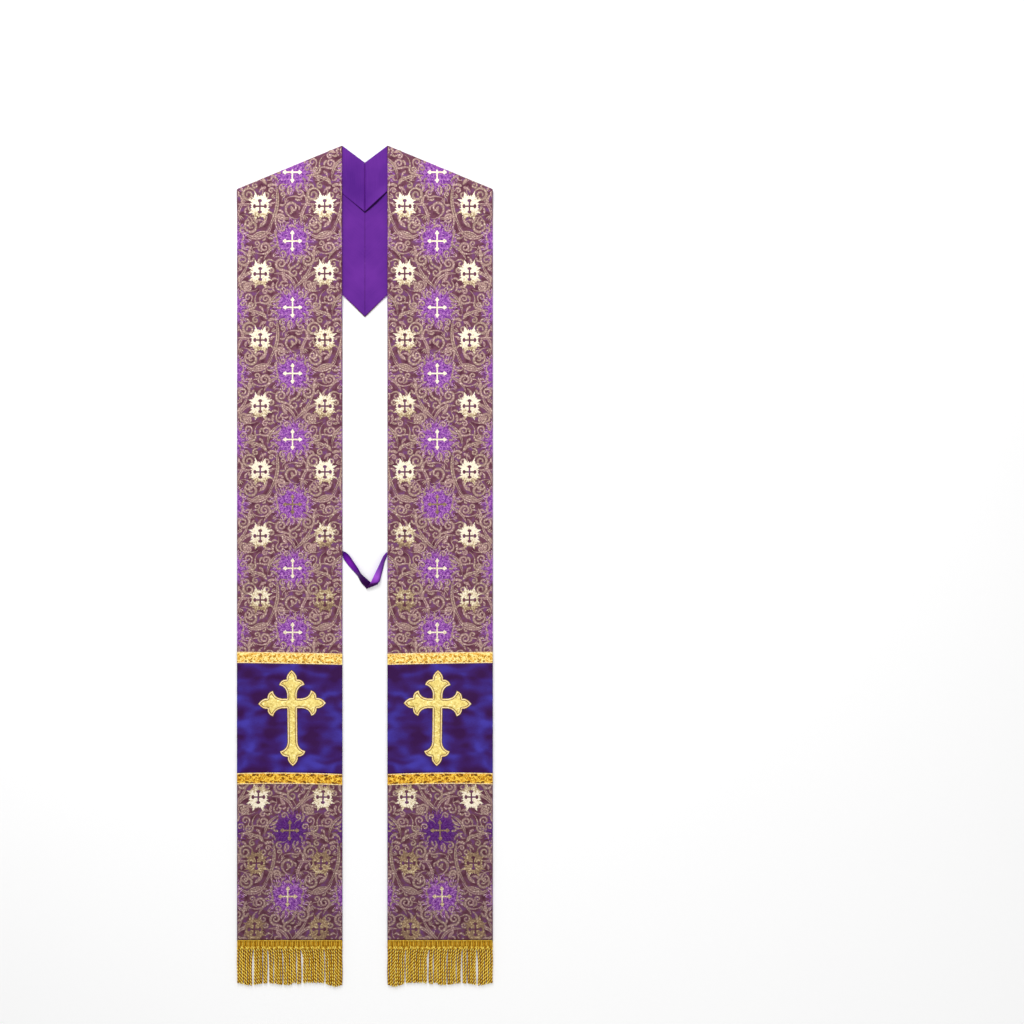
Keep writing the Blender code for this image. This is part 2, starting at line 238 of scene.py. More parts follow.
def strip_place(side, inward, up, depth):
    """Points in space for places on the flat cloth; side mirrors the right half to the left."""
    x = OUTER_X - inward
    start = fold_place(inward)
    turn = np.clip((up - start) / BEND_LENGTH, 0, 1) * math.pi
    along = np.clip((up - start - BEND_LENGTH) / yoke_run(inward), 0, 1)
    radius = FOLD_Z - depth
    beyond = (YOKE_POINT_Y + x - (HEM_Y + up)) / math.sqrt(2)
    lift = YOKE_STACK * (1 - ease(beyond / LIFT_RUN))
    y = np.minimum(HEM_Y + up, fold_y(x)) + radius * np.sin(turn) / math.cos(SLOPE)
    z = np.where(turn > 0, FOLD_Z + radius * np.cos(turn), lift + PANEL_STACK - depth)
    y = y + (mitre_y(x) - fold_y(x)) * along
    x = x + (SEAM_HALF - x) * along
    return np.stack(np.broadcast_arrays(side * x, y, z), axis=-1)


print(f"the strip is {strip_end(0) / MM:.0f} mm long at its outer edge and {strip_end(WIDTH) / MM:.0f} mm at its inner edge")

# %% [markdown]
# ## Folds and dents in the front panels
#
# The cloth is pressed flat, but it is still cloth. Half way up each panel the ribbon is tacked through, which
# draws in a small dent with a crease that runs from it to the inner edge. A displacement texture would put
# creases anywhere, so these are a short table instead: each row is a soft trough or ridge between two places,
# and the same function moves the brocade and all that is woven into it. Where troughs meet they would sink into
# the lining, so the sum levels off at 1.25 mm.

# %% Creases placed one by one
CREASES = [
    {"in_1": 88, "up_1": 617, "in_2": 143, "up_2": 645, "rise": -1.5, "width": 4.5},
    {"in_1": 84, "up_1": 610, "in_2": 128, "up_2": 629, "rise": 0.9, "width": 5.0},
    {"in_1": 91, "up_1": 606, "in_2": 92, "up_2": 619, "rise": -2.0, "width": 5.5},
    {"in_1": 70, "up_1": 616, "in_2": 82, "up_2": 620, "rise": 1.6, "width": 8.0},
    {"in_1": 97, "up_1": 583, "in_2": 86, "up_2": 576, "rise": -1.0, "width": 5.0},
    {"in_1": 60, "up_1": 598, "in_2": 40, "up_2": 590, "rise": -0.5, "width": 7.0},
    {"in_1": 168, "up_1": 620, "in_2": 152, "up_2": 612, "rise": 0.7, "width": 6.0},
    {"in_1": 30, "up_1": 812, "in_2": 66, "up_2": 806, "rise": 0.4, "width": 11.0},
    {"in_1": 120, "up_1": 926, "in_2": 162, "up_2": 938, "rise": 0.4, "width": 12.0},
    {"in_1": 12, "up_1": 1002, "in_2": 40, "up_2": 1012, "rise": -0.4, "width": 10.0},
    {"in_1": 104, "up_1": 164, "in_2": 150, "up_2": 158, "rise": 0.5, "width": 12.0},
    {"in_1": 10, "up_1": 96, "in_2": 52, "up_2": 104, "rise": 0.4, "width": 12.0},
]


DEEPEST = 1.25 * MM


def crease_rise(inward, up, rows=CREASES):
    """How far a table's creases lift the cloth at a place, in metres."""
    rise = np.zeros(np.broadcast(inward, up).shape)
    for row in rows:
        start = np.array([row["in_1"], row["up_1"]]) * MM
        run = np.array([row["in_2"], row["up_2"]]) * MM - start
        share = ((inward - start[0]) * run[0] + (up - start[1]) * run[1]) / (run @ run)
        held = np.clip(share, 0, 1)
        away = np.hypot(inward - start[0] - held * run[0], up - start[1] - held * run[1])
        rise += row["rise"] * MM * np.exp(-((away / (row["width"] * MM)) ** 2))
    return DEEPEST * np.tanh(rise / DEEPEST)


print(len(CREASES), "creases; no trough is deeper than", DEEPEST / MM, "mm")

# %% [markdown]
# ## Colours and node trees
#
# Colours are easiest to read as the hex values of a paint chart, but shaders work in linear light, so one
# function turns one into the other. Every material below is a small node tree. One function adds a node, sets
# its options and plugs in its inputs, which keeps each tree to a few lines that read from left to right.

# %% Colour and node helpers
def linear(code):
    """A hex colour as linear red, green, blue and alpha."""
    channels = [int(code[i:i + 2], 16) / 255 for i in (1, 3, 5)]
    return (*[c / 12.92 if c <= 0.04045 else ((c + 0.055) / 1.055) ** 2.4 for c in channels], 1)


def add(tree, kind, options=None, stops=(), **inputs):
    """Adds a node. options set its own settings, stops fill a ramp with hex colours at places from 0 to 1, and
    each input, by its name or by i and its number, is a value or another node's socket."""
    made = tree.nodes.new("ShaderNode" + kind)
    for name, value in (options or {}).items():
        setattr(made, name, value)
    for k, (place, code) in enumerate(stops):
        ramp = made.color_ramp.elements
        element = ramp[k] if k < len(ramp) else ramp.new(1.0)
        element.position = place
        element.color = linear(code)
    for name, value in inputs.items():
        socket = made.inputs[int(name[1:])] if name[0] == "i" and name[1:].isdigit() else made.inputs[name]
        if isinstance(value, bpy.types.NodeSocket):
            tree.links.new(value, socket)
        else:
            socket.default_value = value
    return made.outputs


def cloth_material(name, roughness, **settings):
    """A new material with its tree and its Principled shader."""
    made = bpy.data.materials.new(name)
    made.use_nodes = True
    shader = made.node_tree.nodes["Principled BSDF"]
    shader.inputs["Roughness"].default_value = roughness
    for key, value in settings.items():
        shader.inputs[key.replace("_", " ")].default_value = value
    return made, made.node_tree, shader


def dress(tree, shader, colour, height=None, strength=0.3, depth_mm=0.2):
    """Gives a shader its colour and, where a height is given, the fine relief that goes with it."""
    tree.links.new(colour, shader.inputs["Base Color"])
    if height is not None:
        relief = add(tree, "Bump", Strength=strength, Distance=depth_mm * MM, Height=height)["Normal"]
        tree.links.new(relief, shader.inputs["Normal"])


def cloth_mm(tree):
    """The place on the flat cloth in millimetres, from the piece's own UV map."""
    place = add(tree, "UVMap", {"uv_map": "cloth"})["UV"]
    return add(tree, "VectorMath", {"operation": "SCALE"}, Vector=place, Scale=1000.0)["Vector"]


def speckle(tree, place, per_mm, detail=2.0, low=0.34, high=0.66):
    """Threads that catch the light by chance: a noise with so many specks a millimetre, stretched from 0 to 1."""
    noise = add(tree, "TexNoise", Vector=place, Scale=per_mm, Detail=detail, Roughness=0.65)["Fac"]
    return add(tree, "MapRange", Value=noise, i1=low, i2=high)["Result"]


# %% [markdown]
# ## The brocade's ground
#
# Brocade is a figured satin: purple warp threads cover the ground, and coloured wefts float over them where the
# figure is. The ground weave is about 0.25 mm a thread, far below what shows, so it is drawn at 0.9 mm to leave
# a grain. To the eye it is a dull wine red that turns to violet here and there, with no gloss of its own.
# Violet bursts lie on a lattice 103.4 mm across and 105.6 mm up. Near the hem it drifts outwards, as cloth cut a
# little off its grain does, and where the cloth was drawn tighter it lies a few millimetres higher. The bursts
# are part of the ground's dye, so they are painted by a formula in cloth millimetres: a soft round patch whose
# rim is broken up by streaks.

# %% Brocade ground, a satin weave with violet bursts
PITCH = 105.6
PITCH_IN = 103.4
BURST_IN = 88.9
BURST_UP = 1222.2 % PITCH
DRIFT_FROM = 320
DRIFT = 0.03
# From the first place to the second, the figure rises by the third number.
RISES = [(760.0, 480.0, 8.6), (1120.0, 1235.0, 4.8)]
THREAD_MM = 0.9
BANDS_A_UNIT = 0.314  # the wave texture's scale at which its bands lie one unit apart


def lattice_offset(tree, place):
    """Millimetres from the nearest burst centre, as a vector."""
    up = add(tree, "SeparateXYZ", Vector=place)["Y"]
    low = add(tree, "Math", {"operation": "SUBTRACT"}, i0=DRIFT_FROM, i1=up)["Value"]
    low_rise, high_rise = [add(tree, "MapRange", Value=up, i1=start, i2=end, i3=0.0, i4=-rise)["Result"]
                           for start, end, rise in RISES]
    stepped = add(tree, "Math", {"operation": "ADD"}, i0=low_rise, i1=high_rise)["Value"]
    drift = add(tree, "Math", {"operation": "MULTIPLY"}, i0=DRIFT, i1=add(
        tree, "Math", {"operation": "MAXIMUM"}, i0=low, i1=0.0)["Value"])["Value"]
    shift = add(tree, "CombineXYZ", X=drift, Y=stepped)["Vector"]
    start = (20.5 * PITCH_IN - BURST_IN, 20.5 * PITCH - BURST_UP, 0)
    moved = add(tree, "VectorMath", {"operation": "ADD"}, i0=add(
        tree, "VectorMath", {"operation": "ADD"}, i0=place, i1=shift)["Vector"], i1=start)["Vector"]
    wrapped = add(tree, "VectorMath", {"operation": "MODULO"}, i0=moved, i1=(PITCH_IN, PITCH, 1.0))["Vector"]
    return add(tree, "VectorMath", {"operation": "SUBTRACT"}, i0=wrapped,
               i1=(PITCH_IN / 2, PITCH / 2, 0))["Vector"]


def toward_hem(tree, place, colour):
    """The same colour, a little darker toward the hem, where the lamp above the neck hardly reaches."""
    up = add(tree, "SeparateXYZ", Vector=place)["Y"]
    share = add(tree, "MapRange", Value=up, i1=60.0, i2=430.0, i3=0.76, i4=1.0)["Result"]
    return add(tree, "VectorMath", {"operation": "SCALE"}, i0=colour, Scale=share)["Vector"]


DULL_BURST = 174.0
DULL_ROW = 1


def in_dull_burst(tree, place, colour):
    """The same colour, but deep violet in the burst row that tips away from the lamp."""
    off = add(tree, "Math", {"operation": "SUBTRACT"}, i0=add(tree, "SeparateXYZ", Vector=place)["Y"],
              i1=DULL_BURST)["Value"]
    away = add(tree, "Math", {"operation": "ABSOLUTE"}, i0=off)["Value"]
    share = add(tree, "MapRange", Value=away, i1=46.0, i2=16.0, i3=0.0, i4=0.85)["Result"]
    return add(tree, "Mix", {"data_type": "RGBA"}, i0=share, i6=colour, i7=linear("#4A0E68"))[2]


def brocade_ground():
    """Satin of dull purple warp: matt, cloudy from wine to violet, with a faint slanting grain."""
    made, tree, shader = cloth_material("brocade satin ground", 0.6, Specular_IOR_Level=0.1)
    place = cloth_mm(tree)
    offset = lattice_offset(tree, place)
    far = add(tree, "VectorMath", {"operation": "LENGTH"}, i0=offset)["Value"]
    ragged = add(tree, "TexNoise", Vector=place, Scale=0.22, Detail=5.0, Roughness=0.8)["Fac"]
    reach = add(tree, "Math", {"operation": "MULTIPLY_ADD"}, i0=ragged, i1=-36.0, i2=far)["Value"]
    burst = add(tree, "MapRange", Value=reach, i1=14.0, i2=2.0)["Result"]
    mottle = add(tree, "TexNoise", Vector=place, Scale=0.11, Detail=3.0)["Fac"]
    base = add(tree, "ValToRGB", stops=[(0.30, "#54283A"), (0.50, "#6E4150"), (0.70, "#74457A")],
               Fac=mottle)["Color"]
    flecks = speckle(tree, place, 0.30, 4.0)
    violet = add(tree, "ValToRGB", stops=[(0.05, "#46125E"), (0.40, "#82389E"), (0.85, "#B878C4")],
                 Fac=flecks)["Color"]
    colour = add(tree, "Mix", {"data_type": "RGBA"}, i0=burst, i6=base,
                 i7=in_dull_burst(tree, place, violet))[2]
    weave = add(tree, "TexWave", {"wave_type": "BANDS", "bands_direction": "DIAGONAL"}, Vector=place,
                Scale=BANDS_A_UNIT / THREAD_MM, Distortion=0.6, Detail=1.0)["Fac"]
    dress(tree, shader, toward_hem(tree, place, colour), weave, 0.25)
    return made


GROUND = brocade_ground()
print("ground made; the first burst row lies", round(BURST_UP, 1), "mm above the hem")

# %% [markdown]
# ## Building sheets of cloth
#
# Every cloth here is a grid of points through the map, with a Solidify modifier for its thickness. A plain grid
# would end in a sharp cut, but real panels are bagged out: the brocade turns over the edge and meets the lining
# half way down. So the grid has narrow columns and rows along its edges, and sinks there in a quarter round.

# %% Grid sheets with rolled edges
SHELL = 0.5 * MM
ROLL = 1.6 * MM
ROLL_STEPS = [0.0, 0.15, 0.45, 1.0, 1.9]


def edge_spaced(length, spacing):
    """Places from 0 to length that crowd together at both ends."""
    inner = ROLL_STEPS[-1] * MM
    count = max(2, round((length - 2 * inner) / spacing))
    middle = np.linspace(inner, length - inner, count + 1)[1:-1]
    near = np.array(ROLL_STEPS) * MM
    return np.concatenate([near, middle, length - near[::-1]])


def roll_drop(distance, drop):
    """How far the face sinks within ROLL of an edge."""
    share = np.clip(1 - distance / ROLL, 0, 1)
    return drop * (1 - np.sqrt(1 - share ** 2 * 0.999))


def in_scene(name, data):
    """A new object with its data, put in the scene."""
    made = bpy.data.objects.new(name, data)
    bpy.context.scene.collection.objects.link(made)
    return made


def cloth_object(name, points, faces, places, material, smooth=True, **numbers):
    """A piece from points and faces. places, where its points lie on the flat cloth in metres, make its UV map,
    and each of the numbers, one for each point, is kept for the shaders under its name."""
    mesh = bpy.data.meshes.new(name)
    mesh.from_pydata(points.tolist(), [], faces)
    corners = np.array([corner for face in faces for corner in face])
    layer = mesh.uv_layers.new(name="cloth")
    layer.data.foreach_set("uv", places[corners].astype(np.float32).ravel())
    for key, values in numbers.items():
        mesh.attributes.new(key, "FLOAT", "POINT").data.foreach_set("value", values.astype(np.float32))
    mesh.polygons.foreach_set("use_smooth", [smooth] * len(faces))
    mesh.materials.append(material)
    return in_scene(name, mesh)


def sheet_object(name, points, cloth, material, thickness=SHELL, flip=False, offset=-1):
    """A wall of cloth through a grid of points."""
    rows, columns = points.shape[:2]
    index = np.arange(rows * columns).reshape(rows, columns)
    corners = [index[:-1, :-1], index[:-1, 1:], index[1:, 1:], index[1:, :-1]]
    faces = np.stack([c.ravel() for c in (corners[::-1] if flip else corners)], axis=-1)
    made = cloth_object(name, points.reshape(-1, 3), faces.tolist(), cloth.reshape(-1, 2), material)
    wall = made.modifiers.new("cloth thickness", "SOLIDIFY")
    wall.thickness = thickness
    wall.offset = offset
    return made


def settle(made, slot, *nodes):
    """The piece moves with the stole, takes a slot's finish and stands for its CAD solids."""
    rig.ride(made, "root")
    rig.slot(made, slot)
    if nodes:
        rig.replaces(made, *nodes)
    return made


# %% [markdown]
# ## The brocade and its lining
#
# Both follow the same rows: straight across the panel, then fanned to the slope of the shoulder, round the bend
# and on to the mitre. The brocade's face is out, and the lining's is towards the wearer, so their grids sink
# from their own faces. The yoke's brocade lies face down, and its face is kept 0.35 mm off the table to leave
# room for the needlework on it.

# %% Rows that the strip's cloths share
FACE_LIFT = 0.35 * MM
BROCADE_ROLL = 0.9 * MM
COLUMN_MM = 3.6
ROW_MM = 4.2
MITRE_SLANT = 1.4  # millimetres along the strip for each millimetre square to the mitre


def strip_rows(inward):
    """Distances up from the hem, one row for each line of the grid, fanned to the shoulder's slope."""
    level_end = YOKE_POINT_Y + NECK_X - HEM_Y - 2 * LIFT_RUN
    hem = edge_spaced(level_end * 2, ROW_MM * MM)
    level = [np.full_like(inward, up) for up in hem[hem < level_end]]
    fold = fold_place(inward)
    fan_count = round((fold.mean() - level_end) / (ROW_MM * MM))
    fan = [level_end + (fold - level_end) * s for s in np.linspace(0, 1, fan_count + 1)]
    bend = [fold + BEND_LENGTH * s for s in np.linspace(0, 1, 9)[1:]]
    run = yoke_run(inward)
    near = np.array(ROLL_STEPS[::-1]) * MM
    steps = np.linspace(0, 1, 50)[1:-1]
    yoke = [fold + BEND_LENGTH + (run - near[0] * MITRE_SLANT) * s for s in steps]
    yoke += [fold + BEND_LENGTH + run - n * MITRE_SLANT for n in near]
    return np.array(level + fan + bend + yoke)


def edge_distance(inward, up, inset=0.0):
    """How near a place is to the strip's edges, hem or mitre."""
    mitre = (strip_end(inward) - up) / MITRE_SLANT
    return np.minimum(np.minimum(inward - inset, WIDTH - inset - inward), np.minimum(up - inset, mitre))


def on_yoke(inward, up):
    """0 on the front, 1 on the yoke, changing round the bend."""
    return ease((up - fold_place(inward)) / BEND_LENGTH)


def face_depth(inward, up):
    """The depth of the brocade's face, creases and the yoke's clearance included."""
    return FACE_LIFT * on_yoke(inward, up) - crease_rise(inward, up)


def brocade_shell(side_name):
    side = SIDES[side_name]
    inward = edge_spaced(WIDTH, COLUMN_MM * MM)
    up = strip_rows(inward)
    across = np.broadcast_to(inward, up.shape)
    depth = face_depth(across, up) + roll_drop(edge_distance(across, up), BROCADE_ROLL)
    points = strip_place(side, across, up, depth)
    cloth = np.stack([across, up], axis=-1)
    made = sheet_object(f"brocade_{side_name}_cloth", points, cloth, GROUND, flip=side > 0)
    return settle(made, "brocade", f"brocade_{side_name}")


brocades = {name: brocade_shell(name) for name in SIDES}
print("brocade faces:", {k: len(o.data.polygons) for k, o in brocades.items()})

# %% [markdown]
# ## Purple satin
#
# The lining and the neck facing are plain polyester satin, pressed smooth. Such cloth is never one even colour:
# the nap shifts slightly from place to place, and fine warp threads leave faint streaks along the strip. A
# noise stretched along the strip gives the streaks, and a broad one gives the cloudy shift.

# %% Lining satin
def satin(name, dark, light, roughness):
    """Pressed polyester satin: a broad soft shine without a grain, clouded a little and streaked along the warp."""
    made, tree, shader = cloth_material(name, roughness, Specular_IOR_Level=0.06)
    place = cloth_mm(tree)
    cloud = add(tree, "TexNoise", Vector=place, Scale=0.014, Detail=3.0, Roughness=0.45)["Fac"]
    long_threads = add(tree, "Mapping", Vector=place, Scale=(1.3, 0.03, 1.0))["Vector"]
    threads = add(tree, "TexNoise", Vector=long_threads, Scale=1.0, Detail=2.0)["Fac"]
    mixed = add(tree, "Mix", {"data_type": "FLOAT"}, i0=0.25, i2=cloud, i3=threads)[0]
    colour = add(tree, "ValToRGB", stops=[(0.32, dark), (0.68, light)], Fac=mixed)["Color"]
    dress(tree, shader, colour, threads, depth_mm=0.05)
    return made


LINING = satin("purple lining satin", "#4D187C", "#682A94", 0.5)
LINING_INSET = 1.0 * MM
LINING_COLUMN = COLUMN_MM * 1.6 * MM


def lining_shell(side_name):
    side = SIDES[side_name]
    inward = LINING_INSET + edge_spaced(WIDTH - 2 * LINING_INSET, LINING_COLUMN)
    up = np.maximum(strip_rows(inward), LINING_INSET)
    across = np.broadcast_to(inward, up.shape)
    near = edge_distance(across, up, LINING_INSET)
    pucker = 0.35 * MM * np.sin(up / (6.5 * MM) + 2.0 * np.sin(up / (31 * MM))) * np.exp(-near / (5 * MM))
    pucker = np.where(on_yoke(across, up) > 0, 0, np.maximum(pucker, 0)) + roll_drop(near, 0.35 * MM)
    depth = PANEL_STACK - pucker
    points = strip_place(side, across, up, depth)
    cloth = np.stack([across, up], axis=-1)
    made = sheet_object(f"lining_{side_name}_cloth", points, cloth, LINING, flip=side < 0)
    return settle(made, "lining", f"lining_{side_name}")


linings = {name: lining_shell(name) for name in SIDES}
print("lining faces:", {k: len(o.data.polygons) for k, o in linings.items()})

# %% [markdown]
# ## The neck facing
#
# Inside the neck a V of the same satin covers the seam allowances. Only its neck edge is sewn: its lower edge is
# free, so it lifts a little, most of all on the right, where it shows a bright lip over a dark gap. It is made
# as two flat grids whose lower edge is bent up by a table of lifts, with the turned hem below as a strip coloured
# in painted shade to darken the gap.

# %% Neck facing
FACING_HIDDEN = 25 * MM
FACING_SIDE = {"left": 77 * MM, "right": 73 * MM}
FACING_CENTRE = 79 * MM
FACING_LIFTS = {"left": [(0.0, 2.2), (0.2, 1.6), (0.5, 0.9), (1.0, 0.3)],
                "right": [(0.0, 2.2), (0.2, 3.4), (0.5, 3.8), (0.8, 2.8), (1.0, 1.6)]}


def facing_edge(side_name, x):
    """Where the facing's lower edge lies at x, and how far it lifts there."""
    y = NOTCH_Y - FACING_CENTRE + (PEAK_Y - FACING_SIDE[side_name] - NOTCH_Y + FACING_CENTRE) * x / NECK_X
    places, lifts = zip(*FACING_LIFTS[side_name])
    return y, np.interp(x / NECK_X, places, lifts) * MM


def facing_shell(side_name):
    side = SIDES[side_name]
    x = np.concatenate([np.linspace(SEAM_HALF, NECK_X, 15),
                        np.linspace(NECK_X, NECK_X + FACING_HIDDEN, 8)[1:]])
    top = np.where(x <= NECK_X, NOTCH_Y - 0.6 * MM + (PEAK_Y - NOTCH_Y) * x / NECK_X, fold_y(x) - 6 * MM)
    low, lip = facing_edge(side_name, x)
    lip = lip * np.where(x > NECK_X - 2 * MM, 0.15, 1.0)
    share = np.concatenate([[0, 0.02], np.linspace(0.08, 0.9, 12), [0.95, 0.98, 1.0]])[:, None]
    y = top + (low - top) * share
    base = PANEL_STACK + 0.8 * MM
    z = base + lip * ease((share - 0.80) / 0.20) - roll_drop(x * np.ones_like(share), 0.15 * MM)
    points = np.stack([side * x * np.ones_like(share), y, z], axis=-1)
    made = sheet_object(f"neck_facing_{side_name}_cloth", points, points[..., :2], LINING, flip=side > 0)
    return settle(made, "lining", f"neck_facing_{side_name}")


def facing_hem(side_name):
    """The facing's turned hem below its lifted edge, a strip coloured dark as painted shade."""
    x = np.linspace(SEAM_HALF, NECK_X - MM, 24)
    low, lip = facing_edge(side_name, x)
    share = np.array([0, 0.35, 0.7, 1])[:, None]
    y = low + 0.4 * MM - (0.5 * MM + 1.15 * lip) * share
    z = PANEL_STACK + (0.5 * MM + lip) * (1 - share) ** 1.5 - 0.2 * MM
    points = np.stack([SIDES[side_name] * x * np.ones_like(share), y, z], axis=-1)
    made = sheet_object(f"neck_facing_{side_name}_hem", points, points[..., :2], SHADED_HEM_SATIN,
                        thickness=0.3 * MM,
                        flip=SIDES[side_name] > 0)
    return settle(made, "lining")


# The inside of the turned hem is the same satin, coloured dark as painted shade where hardly any light reaches.
SHADED_HEM_SATIN = satin("satin hem in shade", "#280A40", "#34104E", 0.7)
facings = {name: (facing_shell(name), facing_hem(name)) for name in SIDES}
print("facing lifts up to", max(l for rows in FACING_LIFTS.values() for _, l in rows), "mm at its free edge")

# %% [markdown]
# ## Strokes, the unit of the woven figure
#
# The figure is drawn in strokes, as a designer draws it: each has a path, a width that swells and tapers, and a
# low ridge. Curve objects could do this, but a curve can't pass through the strip's map. So a stroke is three
# lines of points on the flat cloth, two edges and a crest, and its points carry two numbers for the shader:
# how near they are to the edge, and a tone of their own.

# %% A stroke on the flat cloth
def stroke(path, half_widths, height, tone, sunk=-0.06, closed=False):
    """Two strips of faces along a path in millimetres. Returns places, heights, edge, tone and faces."""
    path = np.asarray(path, float)
    half = np.broadcast_to(np.asarray(half_widths, float), (len(path),))
    if closed:
        step = np.roll(path, -1, axis=0) - np.roll(path, 1, axis=0)
    else:
        step = np.gradient(path, axis=0)
    step = step / np.maximum(np.linalg.norm(step, axis=1, keepdims=True), 1e-9)
    out = np.stack([-step[:, 1], step[:, 0]], axis=-1) * half[:, None]
    places = np.stack([path - out, path, path + out], axis=1).reshape(-1, 2)
    crest = height * np.minimum(1, half / max(half.max() * 0.6, 1e-6))
    heights = np.stack([np.full_like(crest, sunk), crest, np.full_like(crest, sunk)], axis=1).ravel()
    edge = np.tile([1.0, 0.0, 1.0], len(path))
    first = np.arange(len(path) if closed else len(path) - 1)
    after = (first + 1) % len(path)
    faces = np.concatenate([np.stack([first * 3 + k, first * 3 + k + 1, after * 3 + k + 1, after * 3 + k], -1)
                            for k in (0, 1)])
    return {"place": places, "height": heights, "edge": edge,
            "tone": np.full(len(edge), tone), "faces": faces[:, ::-1]}


def gather(parts):
    """Joins strokes into one set of arrays."""
    starts = np.cumsum([0] + [len(p["edge"]) for p in parts[:-1]])
    joined = {k: np.concatenate([p[k] for p in parts]) for k in ("place", "height", "edge", "tone")}
    joined["faces"] = np.concatenate([p["faces"] + s for p, s in zip(parts, starts)])
    return joined


def kept(parts, keep):
    """Only the faces whose points all pass keep, and the points that they use."""
    faces = parts["faces"][keep[parts["faces"]].all(axis=1)]
    used, flat = np.unique(faces, return_inverse=True)
    left = {k: parts[k][used] for k in ("place", "height", "edge", "tone")}
    left["faces"] = flat.reshape(faces.shape)
    return left


# %% Scrolls, leaves and buds made of strokes
def bent_line(x, y, heading, length, bend, steps):
    """Points from (x, y) along a line that turns evenly by bend degrees over its length."""
    headings = np.radians(heading + bend * (np.arange(steps) + 0.5) / steps)
    moves = np.stack([np.cos(headings), np.sin(headings)], -1) * length / steps
    return np.concatenate([[(x, y)], np.array([x, y]) + np.cumsum(moves, axis=0)])


def taper(count, start=0.25, end=0.12, swell=0.55):
    """Widths along a stroke: thin at both ends, fullest at swell."""
    share = np.linspace(0, 1, count)
    rising = start + (1 - start) * ease(share / swell)
    falling = end + (1 - end) * ease((1 - share) / (1 - swell))
    return np.minimum(rising, falling)


def volute(x, y, radius, start, hand, turns, tail, bow, width, tone):
    """A scroll that winds in to a bud, with a tail that leads to it."""
    share = np.linspace(0, 1, max(12, round(radius * turns * 2.4)))
    angles = np.radians(start) + hand * 2 * math.pi * turns * share
    radii = radius * (1 - 0.84 * share ** 0.9)
    coil = np.stack([x + radii * np.cos(angles), y + radii * np.sin(angles)], -1)
    heading = start + hand * 90 + 180
    lead = bent_line(*coil[0], heading, tail, bow, max(4, round(tail / 2.4)))[:0:-1]
    path = np.concatenate([lead, coil])
    widths = width * 0.78 * taper(len(path), 0.16, 0.50, 0.42)
    widths[-4:-1] = width * 0.60
    widths[-1] = width * 0.14
    return [stroke(path, widths, 0.36, tone)]


def acanthus(x, y, heading, length, bend, hand, lobes, width, tone):
    """A leaf: a bent rib with lobes that curl back from its outer side."""
    rib = bent_line(x, y, heading, length, bend, max(7, round(length / 2.0)))
    parts = [stroke(rib, width * 0.74 * taper(len(rib), 0.3, 0.05, 0.4), 0.36, tone)]
    for k in range(lobes):
        share = 0.12 + 0.74 * k / max(1, lobes - 1)
        at = rib[int(share * (len(rib) - 1))]
        turned = heading + bend * share + hand * (58 - 26 * share)
        reach = length * (0.46 - 0.24 * share)
        lobe = bent_line(*at, turned, reach, -hand * 62, 5)
        parts.append(stroke(lobe, width * 0.60 * taper(len(lobe), 0.75, 0.06, 0.45), 0.30,
                            tone + 0.12 * (k % 2)))
    return parts


def sprig(x, y, heading, size, tone):
    """A small three-part bud."""
    parts = []
    for turn in (-42, 0, 42):
        petal = bent_line(x, y, heading + turn, size, -turn * 0.7, 4)
        parts.append(stroke(petal, size * 0.17 * taper(len(petal), 0.5, 0.2, 0.6), 0.28, tone))
    return parts


# %% [markdown]
# ## The scrollwork of one repeat
#
# The figure repeats every 103.4 mm across and 211.2 mm up. In each repeat lie two pale medallions and two violet
# bursts, and baroque scrolls run between them: coiled volutes, long split leaves, lobed acanthus leaves and
# small buds. They are laid out in the tables below, in millimetres from one medallion, so that the main
# scrolls lie where the real cloth has them. The layout is this scene's own, in the manner of such brocades.

# %% The layout of one repeat, in millimetres from a medallion
SCROLLS = [  # x, y, radius, start, hand, turns, tail, bow, width
    (-18.5, 17.6, 12.5, -30, 1, 1.70, 14, 30, 4.0), (33, -19.5, 8.5, 175, -1, 1.50, 34, 70, 3.5),
    (52, -3, 11.5, 200, -1, 0.95, 26, 80, 3.8), (-14, -30, 11.0, 165, 1, 1.45, 24, -60, 3.8),
    (64, 20, 6.5, 250, 1, 1.30, 24, 60, 3.0), (33.5, 122, 9.5, -95, -1, 1.55, 46, -80, 3.8),
    (-19, 84, 8.0, 60, 1, 1.45, 30, 90, 3.4), (-14, 56, 7.0, 20, -1, 1.40, 24, -80, 3.2),
    (9, 66, 8.0, 250, 1, 1.40, 30, 70, 3.4), (76, 128, 10.5, 40, -1, 1.55, 40, 80, 3.9),
    (54, 108, 8.5, 110, 1, 1.15, 36, 90, 3.6), (7, 148, 9.0, -60, 1, 1.50, 30, -90, 3.6),
    (84, -24, 7.0, 30, -1, 1.35, 22, 80, 3.2), (78, 88, 7.5, 240, -1, 1.40, 26, 60, 3.2),
]
STEMS = [  # x, y, heading, length, bend, width: a long leaf with a split down its middle
    (24, 38, -72, 82, -58, 5.2), (-27, -38, -52, 62, 138, 5.6), (-30, 47, 8, 46, -52, 4.6),
    (66, -30, 98, 48, -62, 4.6), (-35, 86, 78, 66, -128, 5.0), (6, 129, 72, 40, -66, 4.2),
    (22, 106, 12, 52, -104, 4.6), (84, 124, -108, 58, -42, 5.0), (-38, 4, -12, 26, 26, 3.8),
    (14, -6, -50, 44, 70, 4.4), (34, 76, 200, 44, 74, 4.6), (72, 74, 20, 38, 84, 4.2),
    (20, 168, 150, 46, 96, 4.8),
]
